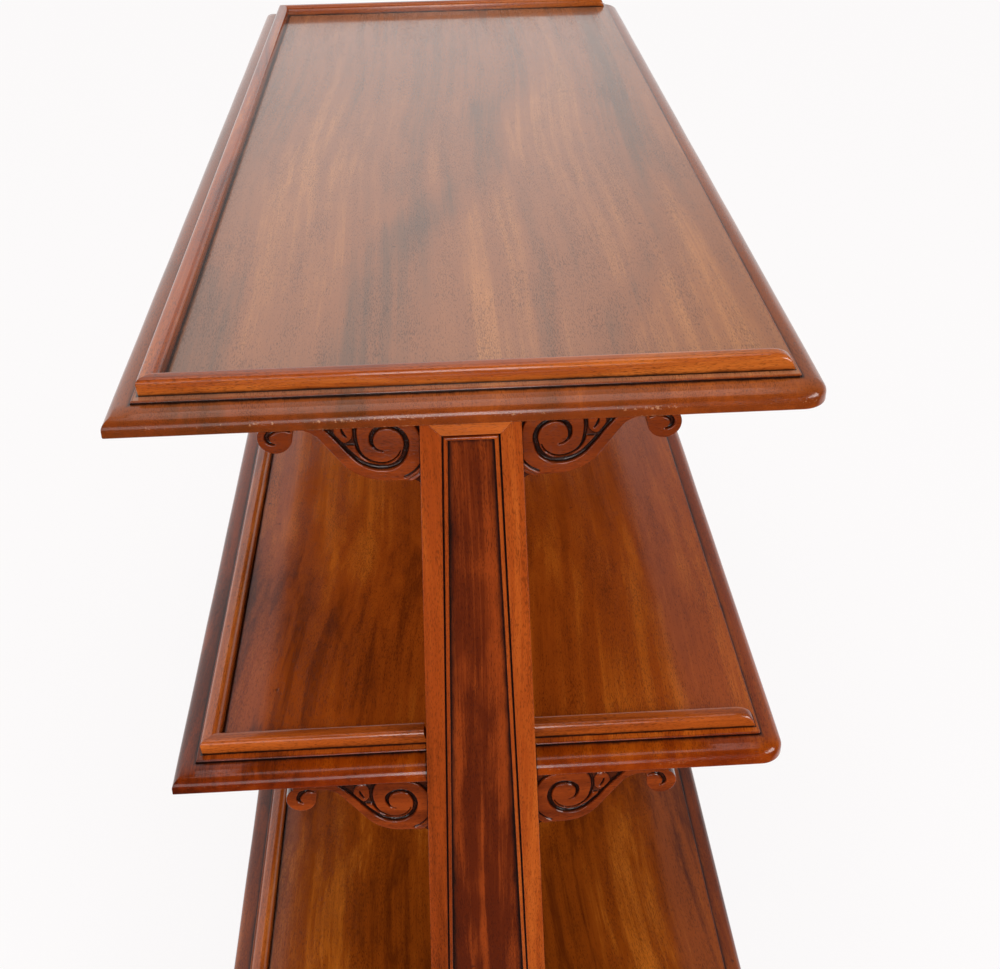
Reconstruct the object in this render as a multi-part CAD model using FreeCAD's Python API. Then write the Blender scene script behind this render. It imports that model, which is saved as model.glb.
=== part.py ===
"""Three-tier mahogany dumbwaiter: moulded tiers with low galleries, held at each end by a
tapering panelled standard with carved scroll brackets, on sledge feet with brass castors.

Millimetres.  X runs along the length, the open front faces -Y, Z is up, and the origin is on
the floor under the middle.  The left end is at -X.
"""
import FreeCAD, Part
import math
import os

# Tiers
TOP_LENGTH = 1250.0
LOWER_TIER_SETBACK = 17.0
TIER_DEPTH = 530.0
TIER_PITCH = 363.0
BOARD_THICKNESS = 20.0
FRONT_CORNER_RADIUS = 21.0

# Moulded edge of a tier, from the lip inwards
LIP_HEIGHT = 7.0
LIP_ROUND = 2.0
OVOLO_WIDTH = 18.6
OVOLO_RISE = 10.5
QUIRK_WIDTH = 0.5
QUIRK_DEPTH = 0.7
STEP_ROUND = 0.7

# Gallery strips
GALLERY_BACK_INSET = 22.8
GALLERY_END_INSET = 26.2
GALLERY_WIDTH = 15.5
GALLERY_HEIGHT = 13.5
GALLERY_LEAN = 1.2
GALLERY_OUTER_ROUND = 4.0
GALLERY_INNER_ROUND = 6.0
GALLERY_FRONT_INSET = 22.5
GALLERY_END_SWEEP = 17.0
GALLERY_TIP_HEIGHT = 1.5
GALLERY_HOUSING = 1.0

# End standards
STANDARD_INSET = 13.5
STANDARD_TOP_WIDTH = 75.0
STANDARD_TAPER = 0.027
CORE_THICKNESS = 36.0
FRAME_THICKNESS = 10.0
STILE_WIDTH = 16.0
TOP_RAIL_HEIGHT = 16.6
BOTTOM_RAIL_HEIGHT = 34.0
PANEL_THICKNESS = 6.5
PANEL_GROOVE = 1.6
PANEL_BEAD_WIDTH = 3.0
PANEL_BEAD_ROUND = 1.2
NOTCH_CLEARANCE = 0.2
FIT_CLEARANCE = 0.1

# Tenons of the standards, in the top tier and in the feet
TENON_THICKNESS = 12.0
TENON_MARGIN = 16.0
TOP_TENON_LENGTH = 9.0
FOOT_TENON_LENGTH = 42.0
TENON_CLEARANCE = 0.15

# Carved brackets.  Each tier's pair has its own hand-drawn curves, given as (reach from the
# standard, drop below the tier) on a drawing of the size below, scaled to the length and height
# set here.  Outlines hold lines as (end,) and arcs as (middle, end); grooves are runs of arcs.
BRACKET_THICKNESS = 20.0
BRACKET_SETBACK = 5.3
BRACKET_LENGTH = 120.0
BRACKET_HEIGHT = 66.0
CARVING_DEPTH = 3.0
GROOVE_WIDTH = 2.6
DRAWING_LENGTH = 120.0
DRAWING_HEIGHT = 66.0
BRACKET_START = (-4.7, 0.0)
TOP_BRACKET_OUTLINE = [
    ((114.0, 0.0),),
    ((114.0, 4.6),),
    ((120.6, 15.9), (107.6, 28.9)),
    ((98.4, 25.1), (94.6, 15.9)),
    ((93.6, 9.5),),
    ((84.0, 11.2), (76.0, 17.2)),
    ((57.5, 42.5),),
    ((42.0, 53.2), (23.2, 56.4)),
    ((13.5, 57.0),),
    ((5.0, 59.0), (-4.7, 66.0)),
]
TOP_BRACKET_GROOVES = [
    [(78.5, -1.0), (69.7, 9.6), (61.4, 19.8), (53.7, 29.4), (47.0, 37.2), (37.5, 43.0), (27.9, 44.9),
     (17.0, 41.6), (10.4, 31.0), (11.5, 17.0), (23.2, 9.5), (33.5, 12.5), (37.2, 20.5), (34.6, 27.6),
     (28.4, 30.6)],
    [(44.5, -1.0), (50.6, 15.5), (46.8, 30.5)],
    [(96.5, 10.5), (104.3, 8.6), (112.6, 13.0), (113.2, 17.5), (107.9, 21.0)],
]
MIDDLE_BRACKET_OUTLINE = [
    ((116.0, 0.0),),
    ((116.0, 3.5),),
    ((122.5, 14.7), (109.6, 27.6)),
    ((100.5, 23.8), (96.7, 14.7)),
    ((95.5, 5.0),),
    ((84.0, 5.8), (75.0, 12.5)),
    ((53.5, 41.5),),
    ((39.0, 52.8), (22.0, 56.3)),
    ((14.0, 56.5),),
    ((5.0, 58.5), (-4.7, 66.0)),
]
MIDDLE_BRACKET_GROOVES = [
    [(74.0, -1.0), (64.0, 10.3), (54.4, 21.0), (47.3, 30.6), (40.1, 38.9), (35.0, 43.0), (28.2, 45.4),
     (17.0, 43.2), (10.3, 35.3), (9.0, 22.0), (13.8, 13.4), (20.0, 10.3), (27.0, 10.9), (34.4, 16.5),
     (34.8, 24.0), (32.5, 28.3), (28.2, 30.1)],
    [(38.5, -1.0), (47.6, 13.0), (45.3, 27.5)],
    [(97.5, 6.8), (104.4, 5.2), (111.0, 11.0), (111.8, 15.6), (108.2, 18.6)],
]
SPANDREL_START = (0.6, 14.0)
SPANDREL_OUTLINE = [((3.2, 8.8), (9.6, 2.6)), ((9.6, -1.0),), ((-3.0, -1.0),), ((-3.0, 14.0),)]

# Sledge feet
FOOT_THICKNESS = 58.0
FOOT_HEIGHT = 100.0
FOOT_REACH = 226.0
FOOT_SHOULDER = 92.0
FOOT_STEP = 16.0
TOE_HEIGHT = 42.0
TOE_PAD_LENGTH = 62.0
ARCH_RISE = 20.0
ARCH_RUN = 26.0

# Brass castors
CASTOR_HEIGHT = 65.0
CASTOR_PLATE = 38.0
CASTOR_PLATE_THICKNESS = 3.0
CASTOR_PLATE_CORNER = 4.0
CASTOR_TOE_INSET = 33.0
CASTOR_REST_ANGLE = 45.0
CASTOR_TRAIL = 13.0
WHEEL_RADIUS = 20.0
WHEEL_WIDTH = 15.0
WHEEL_ROUND = 3.0
HUB_RADIUS = 8.0
HUB_PROUD = 0.8
AXLE_RADIUS = 2.5
AXLE_HEAD_RADIUS = 4.5
AXLE_HEAD_HEIGHT = 1.6
CHEEK_THICKNESS = 3.0
CHEEK_BOSS_RADIUS = 6.5
CHEEK_GAP = 0.3
BRIDGE_THICKNESS = 4.5
BRIDGE_GAP = 2.0
BRIDGE_MARGIN = 1.5
BRIDGE_REAR = 1.0
HORN_FRONT_DROP = 6.0
HORN_REAR_DROP = 4.0
HORN_HOLLOW = 10.4
NECK_RADIUS = 9.0
STUD_RADIUS = 4.0
STUD_HEAD_RADIUS = 6.5
STUD_HEAD_HEIGHT = 2.0
STUD_RECESS_RADIUS = 8.0
RUNNING_CLEARANCE = 0.05
SWIVEL_GAP = 0.3

# Fasteners and glue blocks
SCREW_RADIUS = 1.75
SCREW_HEAD_RADIUS = 3.4
SCREW_HEAD_DEPTH = 1.8
SCREW_LENGTH = 16.0
SCREW_TIP = 4.0
SCREW_SLOT = 0.8
SCREW_SPACING = 25.0
DOWEL_RADIUS = 3.5
DOWEL_IN_BRACKET = 13.0
DOWEL_IN_STANDARD = 12.0
DOWEL_IN_TIER = 10.0
DOWEL_DROP = 26.0
DOWEL_REACH = 30.0
GLUE_BLOCK_SIDE = 20.0
GLUE_BLOCK_LENGTH = 62.0

# Levels and faces that follow from the sizes above
BOTTOM_TIER_Z = CASTOR_HEIGHT + FOOT_HEIGHT
MIDDLE_TIER_Z = BOTTOM_TIER_Z + TIER_PITCH
TOP_TIER_Z = MIDDLE_TIER_Z + TIER_PITCH
LOWER_LENGTH = TOP_LENGTH - 2 * LOWER_TIER_SETBACK
STANDARD_THICKNESS = CORE_THICKNESS + FRAME_THICKNESS
STANDARD_FACE = TOP_LENGTH / 2 - STANDARD_INSET
CORE_FACE = STANDARD_FACE - FRAME_THICKNESS
CORE_BACK = CORE_FACE - CORE_THICKNESS
STANDARD_MIDDLE = STANDARD_FACE - STANDARD_THICKNESS / 2
PANEL_FACE = CORE_FACE + PANEL_THICKNESS
BRACKET_FACE = STANDARD_FACE - BRACKET_SETBACK
BRACKET_BACK = BRACKET_FACE - BRACKET_THICKNESS
CASTOR_Y = FOOT_REACH - CASTOR_TOE_INSET
SAMPLE = math.sqrt(0.5)


def vec(x, y, z):
    return FreeCAD.Vector(x, y, z)


def box(low, high):
    """Box between two corners."""
    return Part.makeBox(high[0] - low[0], high[1] - low[1], high[2] - low[2], vec(*low))


def wire(start, steps, place):
    """Closed outline: each step is (end,) for a line or (middle, end) for an arc."""
    edges = []
    here = start
    for step in steps:
        if len(step) == 1:
            edges.append(Part.makeLine(place(here), place(step[0])))
        else:
            edges.append(Part.Arc(place(here), place(step[0]), place(step[1])).toShape())
        here = step[-1]
    if math.dist(here, start) > 1e-7:
        edges.append(Part.makeLine(place(here), place(start)))
    return Part.Wire(edges)


def slab(start, steps, near, far):
    """Outline in (Y, Z), given thickness along X from near to far."""
    face = Part.Face(wire(start, steps, lambda p: vec(near, p[0], p[1])))
    return face.extrude(vec(far - near, 0, 0))


def polygon_slab(points, near, far):
    return slab(points[0], [(p,) for p in points[1:]], near, far)


def mirrored_x(shape):
    return shape.mirror(vec(0, 0, 0), vec(1, 0, 0))


def mirrored_y(shape):
    return shape.mirror(vec(0, 0, 0), vec(0, 1, 0))


def cleaned(shape):
    """The solid with faces that lie in one surface joined."""
    joined = shape.removeSplitter()
    return joined.Solids[0] if len(joined.Solids) == 1 else joined


# Tiers

def edge_profile(lip, inwards, place):
    """Edges of the moulding, from the underside at the lip up to the flat field."""
    def at(inset, height):
        return place(lip + inwards * inset, height)

    def on_ovolo(angle):
        turn = math.radians(angle)
        return at(OVOLO_WIDTH * (1 - math.cos(turn)), LIP_HEIGHT + OVOLO_RISE * math.sin(turn))

    top = BOARD_THICKNESS
    shelf = LIP_HEIGHT + OVOLO_RISE
    step = OVOLO_WIDTH + QUIRK_WIDTH
    lip_middle = at(LIP_ROUND * (1 - SAMPLE), LIP_ROUND * (1 - SAMPLE))
    step_middle = at(step + STEP_ROUND * (1 - SAMPLE), top - STEP_ROUND * (1 - SAMPLE))
    return [
        Part.Arc(at(LIP_ROUND, 0), lip_middle, at(0, LIP_ROUND)).toShape(),
        Part.makeLine(at(0, LIP_ROUND), at(0, LIP_HEIGHT)),
        Part.Arc(on_ovolo(0), on_ovolo(22.5), on_ovolo(45)).toShape(),
        Part.Arc(on_ovolo(45), on_ovolo(67.5), on_ovolo(90)).toShape(),
        Part.makeLine(at(OVOLO_WIDTH, shelf), at(step, shelf - QUIRK_DEPTH)),
        Part.makeLine(at(step, shelf - QUIRK_DEPTH), at(step, top - STEP_ROUND)),
        Part.Arc(at(step, top - STEP_ROUND), step_middle, at(step + STEP_ROUND, top)).toShape(),
    ]


def moulded_bar(width, place, run):
    """Cross-section of a tier between two moulded edges, carried along the vector run."""
    left = edge_profile(-width / 2, 1, place)
    right = edge_profile(width / 2, -1, place)
    field = OVOLO_WIDTH + QUIRK_WIDTH + STEP_ROUND
    thickness = BOARD_THICKNESS
    top = Part.makeLine(place(-width / 2 + field, thickness), place(width / 2 - field, thickness))
    bottom = Part.makeLine(place(-width / 2 + LIP_ROUND, 0), place(width / 2 - LIP_ROUND, 0))
    edges = Part.__sortEdges__(left + [top] + right + [bottom])
    return Part.Face(Part.Wire(edges)).extrude(run)


def rounded_corner(radius):
    """Quarter turn of the moulding about the origin, in the quarter of +X and -Y."""
    profile = edge_profile(radius, -1, lambda p, z: vec(p, 0, z))
    field = OVOLO_WIDTH + QUIRK_WIDTH + STEP_ROUND
    edges = profile + [
        Part.makeLine(vec(radius - field, 0, BOARD_THICKNESS), vec(0, 0, BOARD_THICKNESS)),
        Part.makeLine(vec(0, 0, BOARD_THICKNESS), vec(0, 0, 0)),
        Part.makeLine(vec(0, 0, 0), vec(radius - LIP_ROUND, 0, 0)),
    ]
    face = Part.Face(Part.Wire(Part.__sortEdges__(edges)))
    return face.revolve(vec(0, 0, 0), vec(0, 0, 1), -90)


def tier_board(length):
    """Board with mitred back corners and rounded front corners, its underside at Z = 0."""
    along = moulded_bar(TIER_DEPTH, lambda p, z: vec(-length / 2, p, z), vec(length, 0, 0))
    across = moulded_bar(length, lambda p, z: vec(p, -TIER_DEPTH / 2, z), vec(0, TIER_DEPTH, 0))
    board = along.common(across)
    radius = FRONT_CORNER_RADIUS
    x = length / 2 - radius
    y = -TIER_DEPTH / 2 + radius
    square = box((x, y - radius - 1, -1), (x + radius + 1, y, BOARD_THICKNESS + 1))
    corner = rounded_corner(radius).translated(vec(x, y, 0))
    board = board.cut([square, mirrored_x(square)])
    return board.fuse([corner, mirrored_x(corner)])


# Gallery strips

def gallery_section(place):
    """Closed section of a strip: place takes the distance in from the outer face and the height."""
    outer = GALLERY_OUTER_ROUND
    inner = GALLERY_INNER_ROUND
    width = GALLERY_WIDTH
    height = GALLERY_HEIGHT
    near = (outer * (1 - SAMPLE), height - outer * (1 - SAMPLE))
    far = (width - inner * (1 - SAMPLE), height - inner * (1 - SAMPLE))
    steps = [((0, 0),), ((GALLERY_LEAN, 0),), ((0, height - outer),), (near, (outer, height)),
             ((width - inner, height),), (far, (width, height - inner)), ((width, -GALLERY_HOUSING),)]
    return Part.Face(wire((0, -GALLERY_HOUSING), steps, lambda p: place(*p)))


def end_strip(length, z):
    """Gallery strip of the right end, mitred at the back and swept down at the front."""
    outer = length / 2 - GALLERY_END_INSET
    back = TIER_DEPTH / 2 - GALLERY_BACK_INSET
    tip = -TIER_DEPTH / 2 + GALLERY_FRONT_INSET
    face = gallery_section(lambda s, h: vec(outer - s, tip, z + h))
    strip = face.extrude(vec(0, back - tip, 0))
    sweep = GALLERY_END_SWEEP
    rise = GALLERY_HEIGHT - GALLERY_TIP_HEIGHT
    middle = (tip + sweep * (1 - SAMPLE), z + GALLERY_TIP_HEIGHT + rise * SAMPLE)
    crest = (tip + sweep, z + GALLERY_HEIGHT)
    foot = z - GALLERY_HOUSING
    side = slab((tip, foot), [((tip, z + GALLERY_TIP_HEIGHT),), (middle, crest), ((back, crest[1]),),
                              ((back, foot),)], outer - GALLERY_WIDTH, outer)
    return strip.common(side).cut(mitre_tool(outer, back, z))


def mitre_tool(outer, back, z):
    """Wedge behind the 45 degree mitre plane of the corner at (outer, back)."""
    reach = 4 * GALLERY_WIDTH
    under = z - 2 * GALLERY_HOUSING
    points = [vec(outer + reach, back + reach, under), vec(outer - reach, back - reach, under),
              vec(outer - reach, back + reach, under), vec(outer + reach, back + reach, under)]
    return Part.Face(Part.makePolygon(points)).extrude(vec(0, 0, 2 * GALLERY_HEIGHT))


def gallery_housings(length):
    """Cutters of the shallow grooves that the three strips lie in, from the field at Z = 0."""
    outer = length / 2 - GALLERY_END_INSET
    back = TIER_DEPTH / 2 - GALLERY_BACK_INSET
    tip = -TIER_DEPTH / 2 + GALLERY_FRONT_INSET
    across = box((outer - GALLERY_WIDTH, tip, -GALLERY_HOUSING), (outer, back, GALLERY_HOUSING))
    along = box((-outer, back - GALLERY_WIDTH, -GALLERY_HOUSING), (outer, back, GALLERY_HOUSING))
    return [along] + both_ends(across)


def back_strip(length, z):
    """Gallery strip of the back, mitred at both ends."""
    outer = length / 2 - GALLERY_END_INSET
    back = TIER_DEPTH / 2 - GALLERY_BACK_INSET
    face = gallery_section(lambda s, h: vec(-outer, back - s, z + h))
    strip = face.extrude(vec(2 * outer, 0, 0))
    across = mitre_tool(outer, back, z).mirror(vec(outer, back, 0), vec(1, -1, 0))
    return strip.cut([across, mirrored_x(across)])


# End standards, drawn at the right end

def half_width(z):
    """Half the width of a standard at a height: it tapers evenly from the foot to the top."""
    return STANDARD_TOP_WIDTH / 2 + STANDARD_TAPER * (TOP_TIER_Z - z)


def taper_corners(top, bottom, inset):
    """Corners of a tapering outline: top left, top right, bottom right, bottom left."""
    return [(-half_width(top) + inset, top), (half_width(top) - inset, top),
            (half_width(bottom) - inset, bottom), (-half_width(bottom) + inset, bottom)]


def standard_prism(clearance):
    """Whole standard between the feet and the top tier, grown by a clearance."""
    corners = taper_corners(TOP_TIER_Z, BOTTOM_TIER_Z, -clearance)
    return polygon_slab(corners, CORE_BACK - clearance, STANDARD_FACE + clearance)


def tenon(top, bottom, width, clearance):
    low = (CORE_BACK + (CORE_THICKNESS - TENON_THICKNESS) / 2 - clearance, -width / 2 - clearance, bottom)
    high = (CORE_FACE - (CORE_THICKNESS - TENON_THICKNESS) / 2 + clearance, width / 2 + clearance, top)
    return box(low, high)


def top_tenon(clearance):
    width = 2 * (half_width(TOP_TIER_Z) - TENON_MARGIN)
    return tenon(TOP_TIER_Z + TOP_TENON_LENGTH + clearance, TOP_TIER_Z, width, clearance)


def foot_tenon(clearance):
    width = 2 * (half_width(BOTTOM_TIER_Z) - TENON_MARGIN)
    return tenon(BOTTOM_TIER_Z, BOTTOM_TIER_Z - FOOT_TENON_LENGTH - clearance, width, clearance)


def standard_core():
    """Thick board behind the frame, with a stub tenon at each end."""
    corners = taper_corners(TOP_TIER_Z, BOTTOM_TIER_Z, 0)
    board = polygon_slab(corners, CORE_BACK, CORE_FACE)
    return cleaned(board.fuse([top_tenon(0), foot_tenon(0)]))


def mitred_strips(outer, inner, near, far):
    """Four strips between two four-cornered outlines, in the order top, front, bottom, rear."""
    strips = []
    for first in range(4):
        second = (first + 1) % 4
        strips.append([outer[first], outer[second], inner[second], inner[first]])
    top, right, bottom, left = [polygon_slab(points, near, far) for points in strips]
    return {"top": top, "rear": right, "bottom": bottom, "front": left}


def panel_corners(inset):
    """Outline of the sunk panel, inside the frame's sight edge."""
    top = TOP_TIER_Z - TOP_RAIL_HEIGHT - inset
    bottom = BOTTOM_TIER_Z + BOTTOM_RAIL_HEIGHT + inset
    return taper_corners(top, bottom, STILE_WIDTH + inset)


def standard_frame():
    """Stiles and rails, mitred, glued on the face of the core."""
    outer = taper_corners(TOP_TIER_Z, BOTTOM_TIER_Z, 0)
    return mitred_strips(outer, panel_corners(0), CORE_FACE, STANDARD_FACE)


def standard_panel():
    """Thin panel of figured wood, sunk below the face of the frame."""
    return polygon_slab(panel_corners(FIT_CLEARANCE), CORE_FACE, PANEL_FACE)


def panel_bead():
    """Four mitred lengths of fine bead round the panel, a narrow groove inside the frame."""
    outer = panel_corners(PANEL_GROOVE)
    inner = panel_corners(PANEL_GROOVE + PANEL_BEAD_WIDTH)
    strips = mitred_strips(outer, inner, PANEL_FACE, STANDARD_FACE).values()
    return Part.makeCompound([rounded_bead(strip) for strip in strips])


def rounded_bead(strip):
    """A length of bead with its two long edges at the face rounded over."""
    face_edges = [e for e in strip.Edges if all(abs(v.X - STANDARD_FACE) < 1e-6 for v in e.Vertexes)]
    mitre_length = 2 * PANEL_BEAD_WIDTH
    long_edges = [e for e in face_edges if e.Length > mitre_length]
    return strip.makeFillet(PANEL_BEAD_ROUND, long_edges)


# Carved brackets

def bracket_place(tier_z, x):
    """Turns a point of the bracket's drawing into a point in the plane at x, under a tier."""
    side = half_width(tier_z)
    wider = BRACKET_LENGTH / DRAWING_LENGTH
    higher = BRACKET_HEIGHT / DRAWING_HEIGHT
    return lambda p: vec(x, side + wider * p[0], tier_z - higher * p[1])


def carved_groove(points, place):
    """Cutter of a round-ended groove along arcs, each through three points of the list."""
    arcs = [Part.Arc(place(points[i]), place(points[i + 1]), place(points[i + 2])).toShape()
            for i in range(0, len(points) - 2, 2)]
    ribbon = Part.Wire(arcs).makeOffset2D(GROOVE_WIDTH / 2, 0, False, False)
    return Part.Face(ribbon).extrude(vec(-CARVING_DEPTH, 0, 0))


def bracket(tier_z, outline, grooves):
    """Carved bracket on the rear side of the right standard, under the tier at tier_z."""
    back = Part.Face(wire(BRACKET_START, outline, bracket_place(tier_z, BRACKET_BACK)))
    blank = back.extrude(vec(BRACKET_THICKNESS, 0, 0))
    place = bracket_place(tier_z, BRACKET_FACE)
    spandrel = Part.Face(wire(SPANDREL_START, SPANDREL_OUTLINE, place)).extrude(vec(-CARVING_DEPTH, 0, 0))
    carving = [carved_groove(points, place) for points in grooves]
    return blank.cut(carving + [spandrel]).cut(standard_prism(0))


def bracket_dowels(tier_z):
    """Two dowels of a bracket: one into the standard's core, one up into the tier."""
    x = (min(CORE_FACE, BRACKET_FACE) + max(CORE_BACK, BRACKET_BACK)) / 2
    z = tier_z - DOWEL_DROP
    side = half_width(z)
    length = DOWEL_IN_STANDARD + DOWEL_IN_BRACKET
    level = Part.makeCylinder(DOWEL_RADIUS, length, vec(x, side - DOWEL_IN_STANDARD, z), vec(0, 1, 0))
    height = DOWEL_IN_TIER + DOWEL_IN_BRACKET
    y = half_width(tier_z) + DOWEL_REACH
    upright = Part.makeCylinder(DOWEL_RADIUS, height, vec(x, y, tier_z - DOWEL_IN_BRACKET))
    return [level, upright]


# Sledge feet

def foot():
    """Sledge foot of the right end, with mortise, castor recesses and an arched underside."""
    base = CASTOR_HEIGHT
    top = BOTTOM_TIER_Z
    toe = base + TOE_HEIGHT
    half_toe = TOE_HEIGHT / 2
    pad = FOOT_REACH - TOE_PAD_LENGTH
    step = top - FOOT_STEP
    hollow_end = FOOT_REACH - TOE_HEIGHT
    hollow = (FOOT_SHOULDER + (hollow_end - FOOT_SHOULDER) * (1 - SAMPLE), toe + (step - toe) * (1 - SAMPLE))
    arch = base + ARCH_RISE
    rise_middle = (pad - ARCH_RUN * (1 - SAMPLE), base + ARCH_RISE * SAMPLE)
    right = [
        ((FOOT_SHOULDER, top),), ((FOOT_SHOULDER, step),), (hollow, (hollow_end, toe)),
        ((FOOT_REACH - half_toe, toe),), ((FOOT_REACH, base + half_toe), (FOOT_REACH - half_toe, base)),
        ((pad, base),), (rise_middle, (pad - ARCH_RUN, arch)), ((0, arch),),
    ]
    near = STANDARD_MIDDLE - FOOT_THICKNESS / 2
    half = slab((0, top), right, near, near + FOOT_THICKNESS)
    return cleaned(half.fuse(mirrored_y(half)))


# Castors, drawn with the swivel on the Z axis and the wheel trailing along +X

def castor_plate():
    """Square plate screwed under a toe, with the swivel's bore in the middle."""
    low = CASTOR_HEIGHT - CASTOR_PLATE_THICKNESS
    half = CASTOR_PLATE / 2
    plate = box((-half, -half, low), (half, half, CASTOR_HEIGHT))
    upright = [e for e in plate.Edges if abs(e.Vertexes[0].Z - e.Vertexes[1].Z) > 1]
    plate = plate.makeFillet(CASTOR_PLATE_CORNER, upright)
    bore = Part.makeCylinder(STUD_RADIUS + RUNNING_CLEARANCE, CASTOR_HEIGHT, vec(0, 0, 0))
    return plate.cut([bore] + [screw(x, y, False) for x, y in screw_places()])


def screw_places():
    half = SCREW_SPACING / 2
    return [(x, y) for x in (-half, half) for y in (-half, half)]


def screw(x, y, slotted):
    """Countersunk wood screw, driven up through the castor plate."""
    low = CASTOR_HEIGHT - CASTOR_PLATE_THICKNESS
    head = Part.makeCone(SCREW_HEAD_RADIUS, SCREW_RADIUS, SCREW_HEAD_DEPTH, vec(x, y, low))
    shank_start = vec(x, y, low + SCREW_HEAD_DEPTH)
    shank = Part.makeCylinder(SCREW_RADIUS, SCREW_LENGTH - SCREW_HEAD_DEPTH - SCREW_TIP, shank_start)
    tip = Part.makeCone(SCREW_RADIUS, SCREW_SLOT / 2, SCREW_TIP, vec(x, y, low + SCREW_LENGTH - SCREW_TIP))
    body = cleaned(head.fuse([shank, tip]))
    if not slotted:
        return body
    reach = SCREW_HEAD_RADIUS + 1
    slot = box((x - reach, y - SCREW_SLOT / 2, low - 1), (x + reach, y + SCREW_SLOT / 2, low + SCREW_SLOT))
    return body.cut(slot)


def castor_fork():
    """Horns, bridge, neck and riveted stud, cast as one."""
    inner = WHEEL_WIDTH / 2 + HUB_PROUD + CHEEK_GAP
    outer = inner + CHEEK_THICKNESS
    bridge_low = 2 * WHEEL_RADIUS + BRIDGE_GAP
    bridge_top = bridge_low + BRIDGE_THICKNESS
    neck_top = CASTOR_HEIGHT - CASTOR_PLATE_THICKNESS - SWIVEL_GAP
    front = -NECK_RADIUS - BRIDGE_MARGIN
    rear = CASTOR_TRAIL + BRIDGE_REAR
    boss = CHEEK_BOSS_RADIUS
    trail = CASTOR_TRAIL

    def place(p):
        return vec(p[0], inner, p[1])

    steps = [((front, bridge_low - HORN_FRONT_DROP),),
             ((trail - HORN_HOLLOW, WHEEL_RADIUS + boss), (trail - boss, WHEEL_RADIUS)),
             ((trail, WHEEL_RADIUS - boss), (trail + boss, WHEEL_RADIUS)),
             ((trail + boss, bridge_low - HORN_REAR_DROP),), ((rear, bridge_top),)]
    cheek = Part.Face(wire((front, bridge_top), steps, place)).extrude(vec(0, CHEEK_THICKNESS, 0))
    bridge = box((front, -outer, bridge_low), (rear, outer, bridge_top))
    neck = Part.makeCylinder(NECK_RADIUS, neck_top - bridge_low, vec(0, 0, bridge_low))
    head_low = CASTOR_HEIGHT + SWIVEL_GAP
    stud = Part.makeCylinder(STUD_RADIUS, head_low - neck_top, vec(0, 0, neck_top))
    head = Part.makeCylinder(STUD_HEAD_RADIUS, STUD_HEAD_HEIGHT, vec(0, 0, head_low))
    bore = Part.makeCylinder(AXLE_RADIUS, 2 * outer + 2, vec(trail, -outer - 1, WHEEL_RADIUS), vec(0, 1, 0))
    return cleaned(cheek.fuse([mirrored_y(cheek), bridge, neck, stud, head])).cut(bore)


def castor_axle():
    """Plain pin through the horns, riveted over at both ends."""
    outer = WHEEL_WIDTH / 2 + HUB_PROUD + CHEEK_GAP + CHEEK_THICKNESS
    centre = vec(CASTOR_TRAIL, -outer, WHEEL_RADIUS)
    pin = Part.makeCylinder(AXLE_RADIUS, 2 * outer, centre, vec(0, 1, 0))
    head = Part.makeCone(AXLE_HEAD_RADIUS, AXLE_RADIUS, AXLE_HEAD_HEIGHT,
                         vec(CASTOR_TRAIL, outer, WHEEL_RADIUS), vec(0, 1, 0))
    return cleaned(pin.fuse([head, mirrored_y(head)]))


def castor_wheel():
    """Turned wheel with rounded rims and a hub that stands a little proud."""
    start = vec(CASTOR_TRAIL, -WHEEL_WIDTH / 2, WHEEL_RADIUS)
    rim = Part.makeCylinder(WHEEL_RADIUS, WHEEL_WIDTH, start, vec(0, 1, 0))
    rim = rim.makeFillet(WHEEL_ROUND, [e for e in rim.Edges if len(e.Vertexes) == 1])
    hub_half = WHEEL_WIDTH / 2 + HUB_PROUD
    start = vec(CASTOR_TRAIL, -hub_half, WHEEL_RADIUS)
    hub = Part.makeCylinder(HUB_RADIUS, 2 * hub_half, start, vec(0, 1, 0))
    bore = Part.makeCylinder(AXLE_RADIUS + RUNNING_CLEARANCE, 2 * hub_half, start, vec(0, 1, 0))
    return cleaned(rim.fuse(hub)).cut(bore)


def placed_castor(shape, x_sign, y_sign):
    """Castor piece at its toe, its wheel trailing towards the middle of the piece."""
    x = x_sign * STANDARD_MIDDLE
    y = y_sign * CASTOR_Y
    heading = math.degrees(math.atan2(-y_sign * math.sin(math.radians(CASTOR_REST_ANGLE)),
                                      -x_sign * math.cos(math.radians(CASTOR_REST_ANGLE))))
    turned = shape.copy()
    turned.rotate(vec(0, 0, 0), vec(0, 0, 1), heading)
    return turned.translated(vec(x, y, 0))


def placed_square(shape, x_sign, y_sign):
    """Piece of a castor that stands square to the foot."""
    return shape.translated(vec(x_sign * STANDARD_MIDDLE, y_sign * CASTOR_Y, 0))


def glue_block(face_x, tier_z):
    """Triangular block in the angle of an upright face and the tier above it."""
    half = GLUE_BLOCK_LENGTH / 2
    points = [vec(face_x, -half, tier_z), vec(face_x - GLUE_BLOCK_SIDE, -half, tier_z),
              vec(face_x, -half, tier_z - GLUE_BLOCK_SIDE), vec(face_x, -half, tier_z)]
    return Part.Face(Part.makePolygon(points)).extrude(vec(0, GLUE_BLOCK_LENGTH, 0))


# Assembly

ENDS = {"left": -1, "right": 1}
SIDES = {"front": -1, "rear": 1}
TIER_LEVELS = {"top": TOP_TIER_Z, "middle": MIDDLE_TIER_Z, "bottom": BOTTOM_TIER_Z}
BRACKETED = {"top": (TOP_BRACKET_OUTLINE, TOP_BRACKET_GROOVES),
             "middle": (MIDDLE_BRACKET_OUTLINE, MIDDLE_BRACKET_GROOVES)}


def at_end(shape, end):
    """A piece drawn at the right end, at either end."""
    return shape if end == "right" else mirrored_x(shape)


def at_side(shape, side):
    """A piece drawn on the rear side, on either side."""
    return shape if side == "rear" else mirrored_y(shape)


def both_ends(shape):
    return [shape, mirrored_x(shape)]


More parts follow.
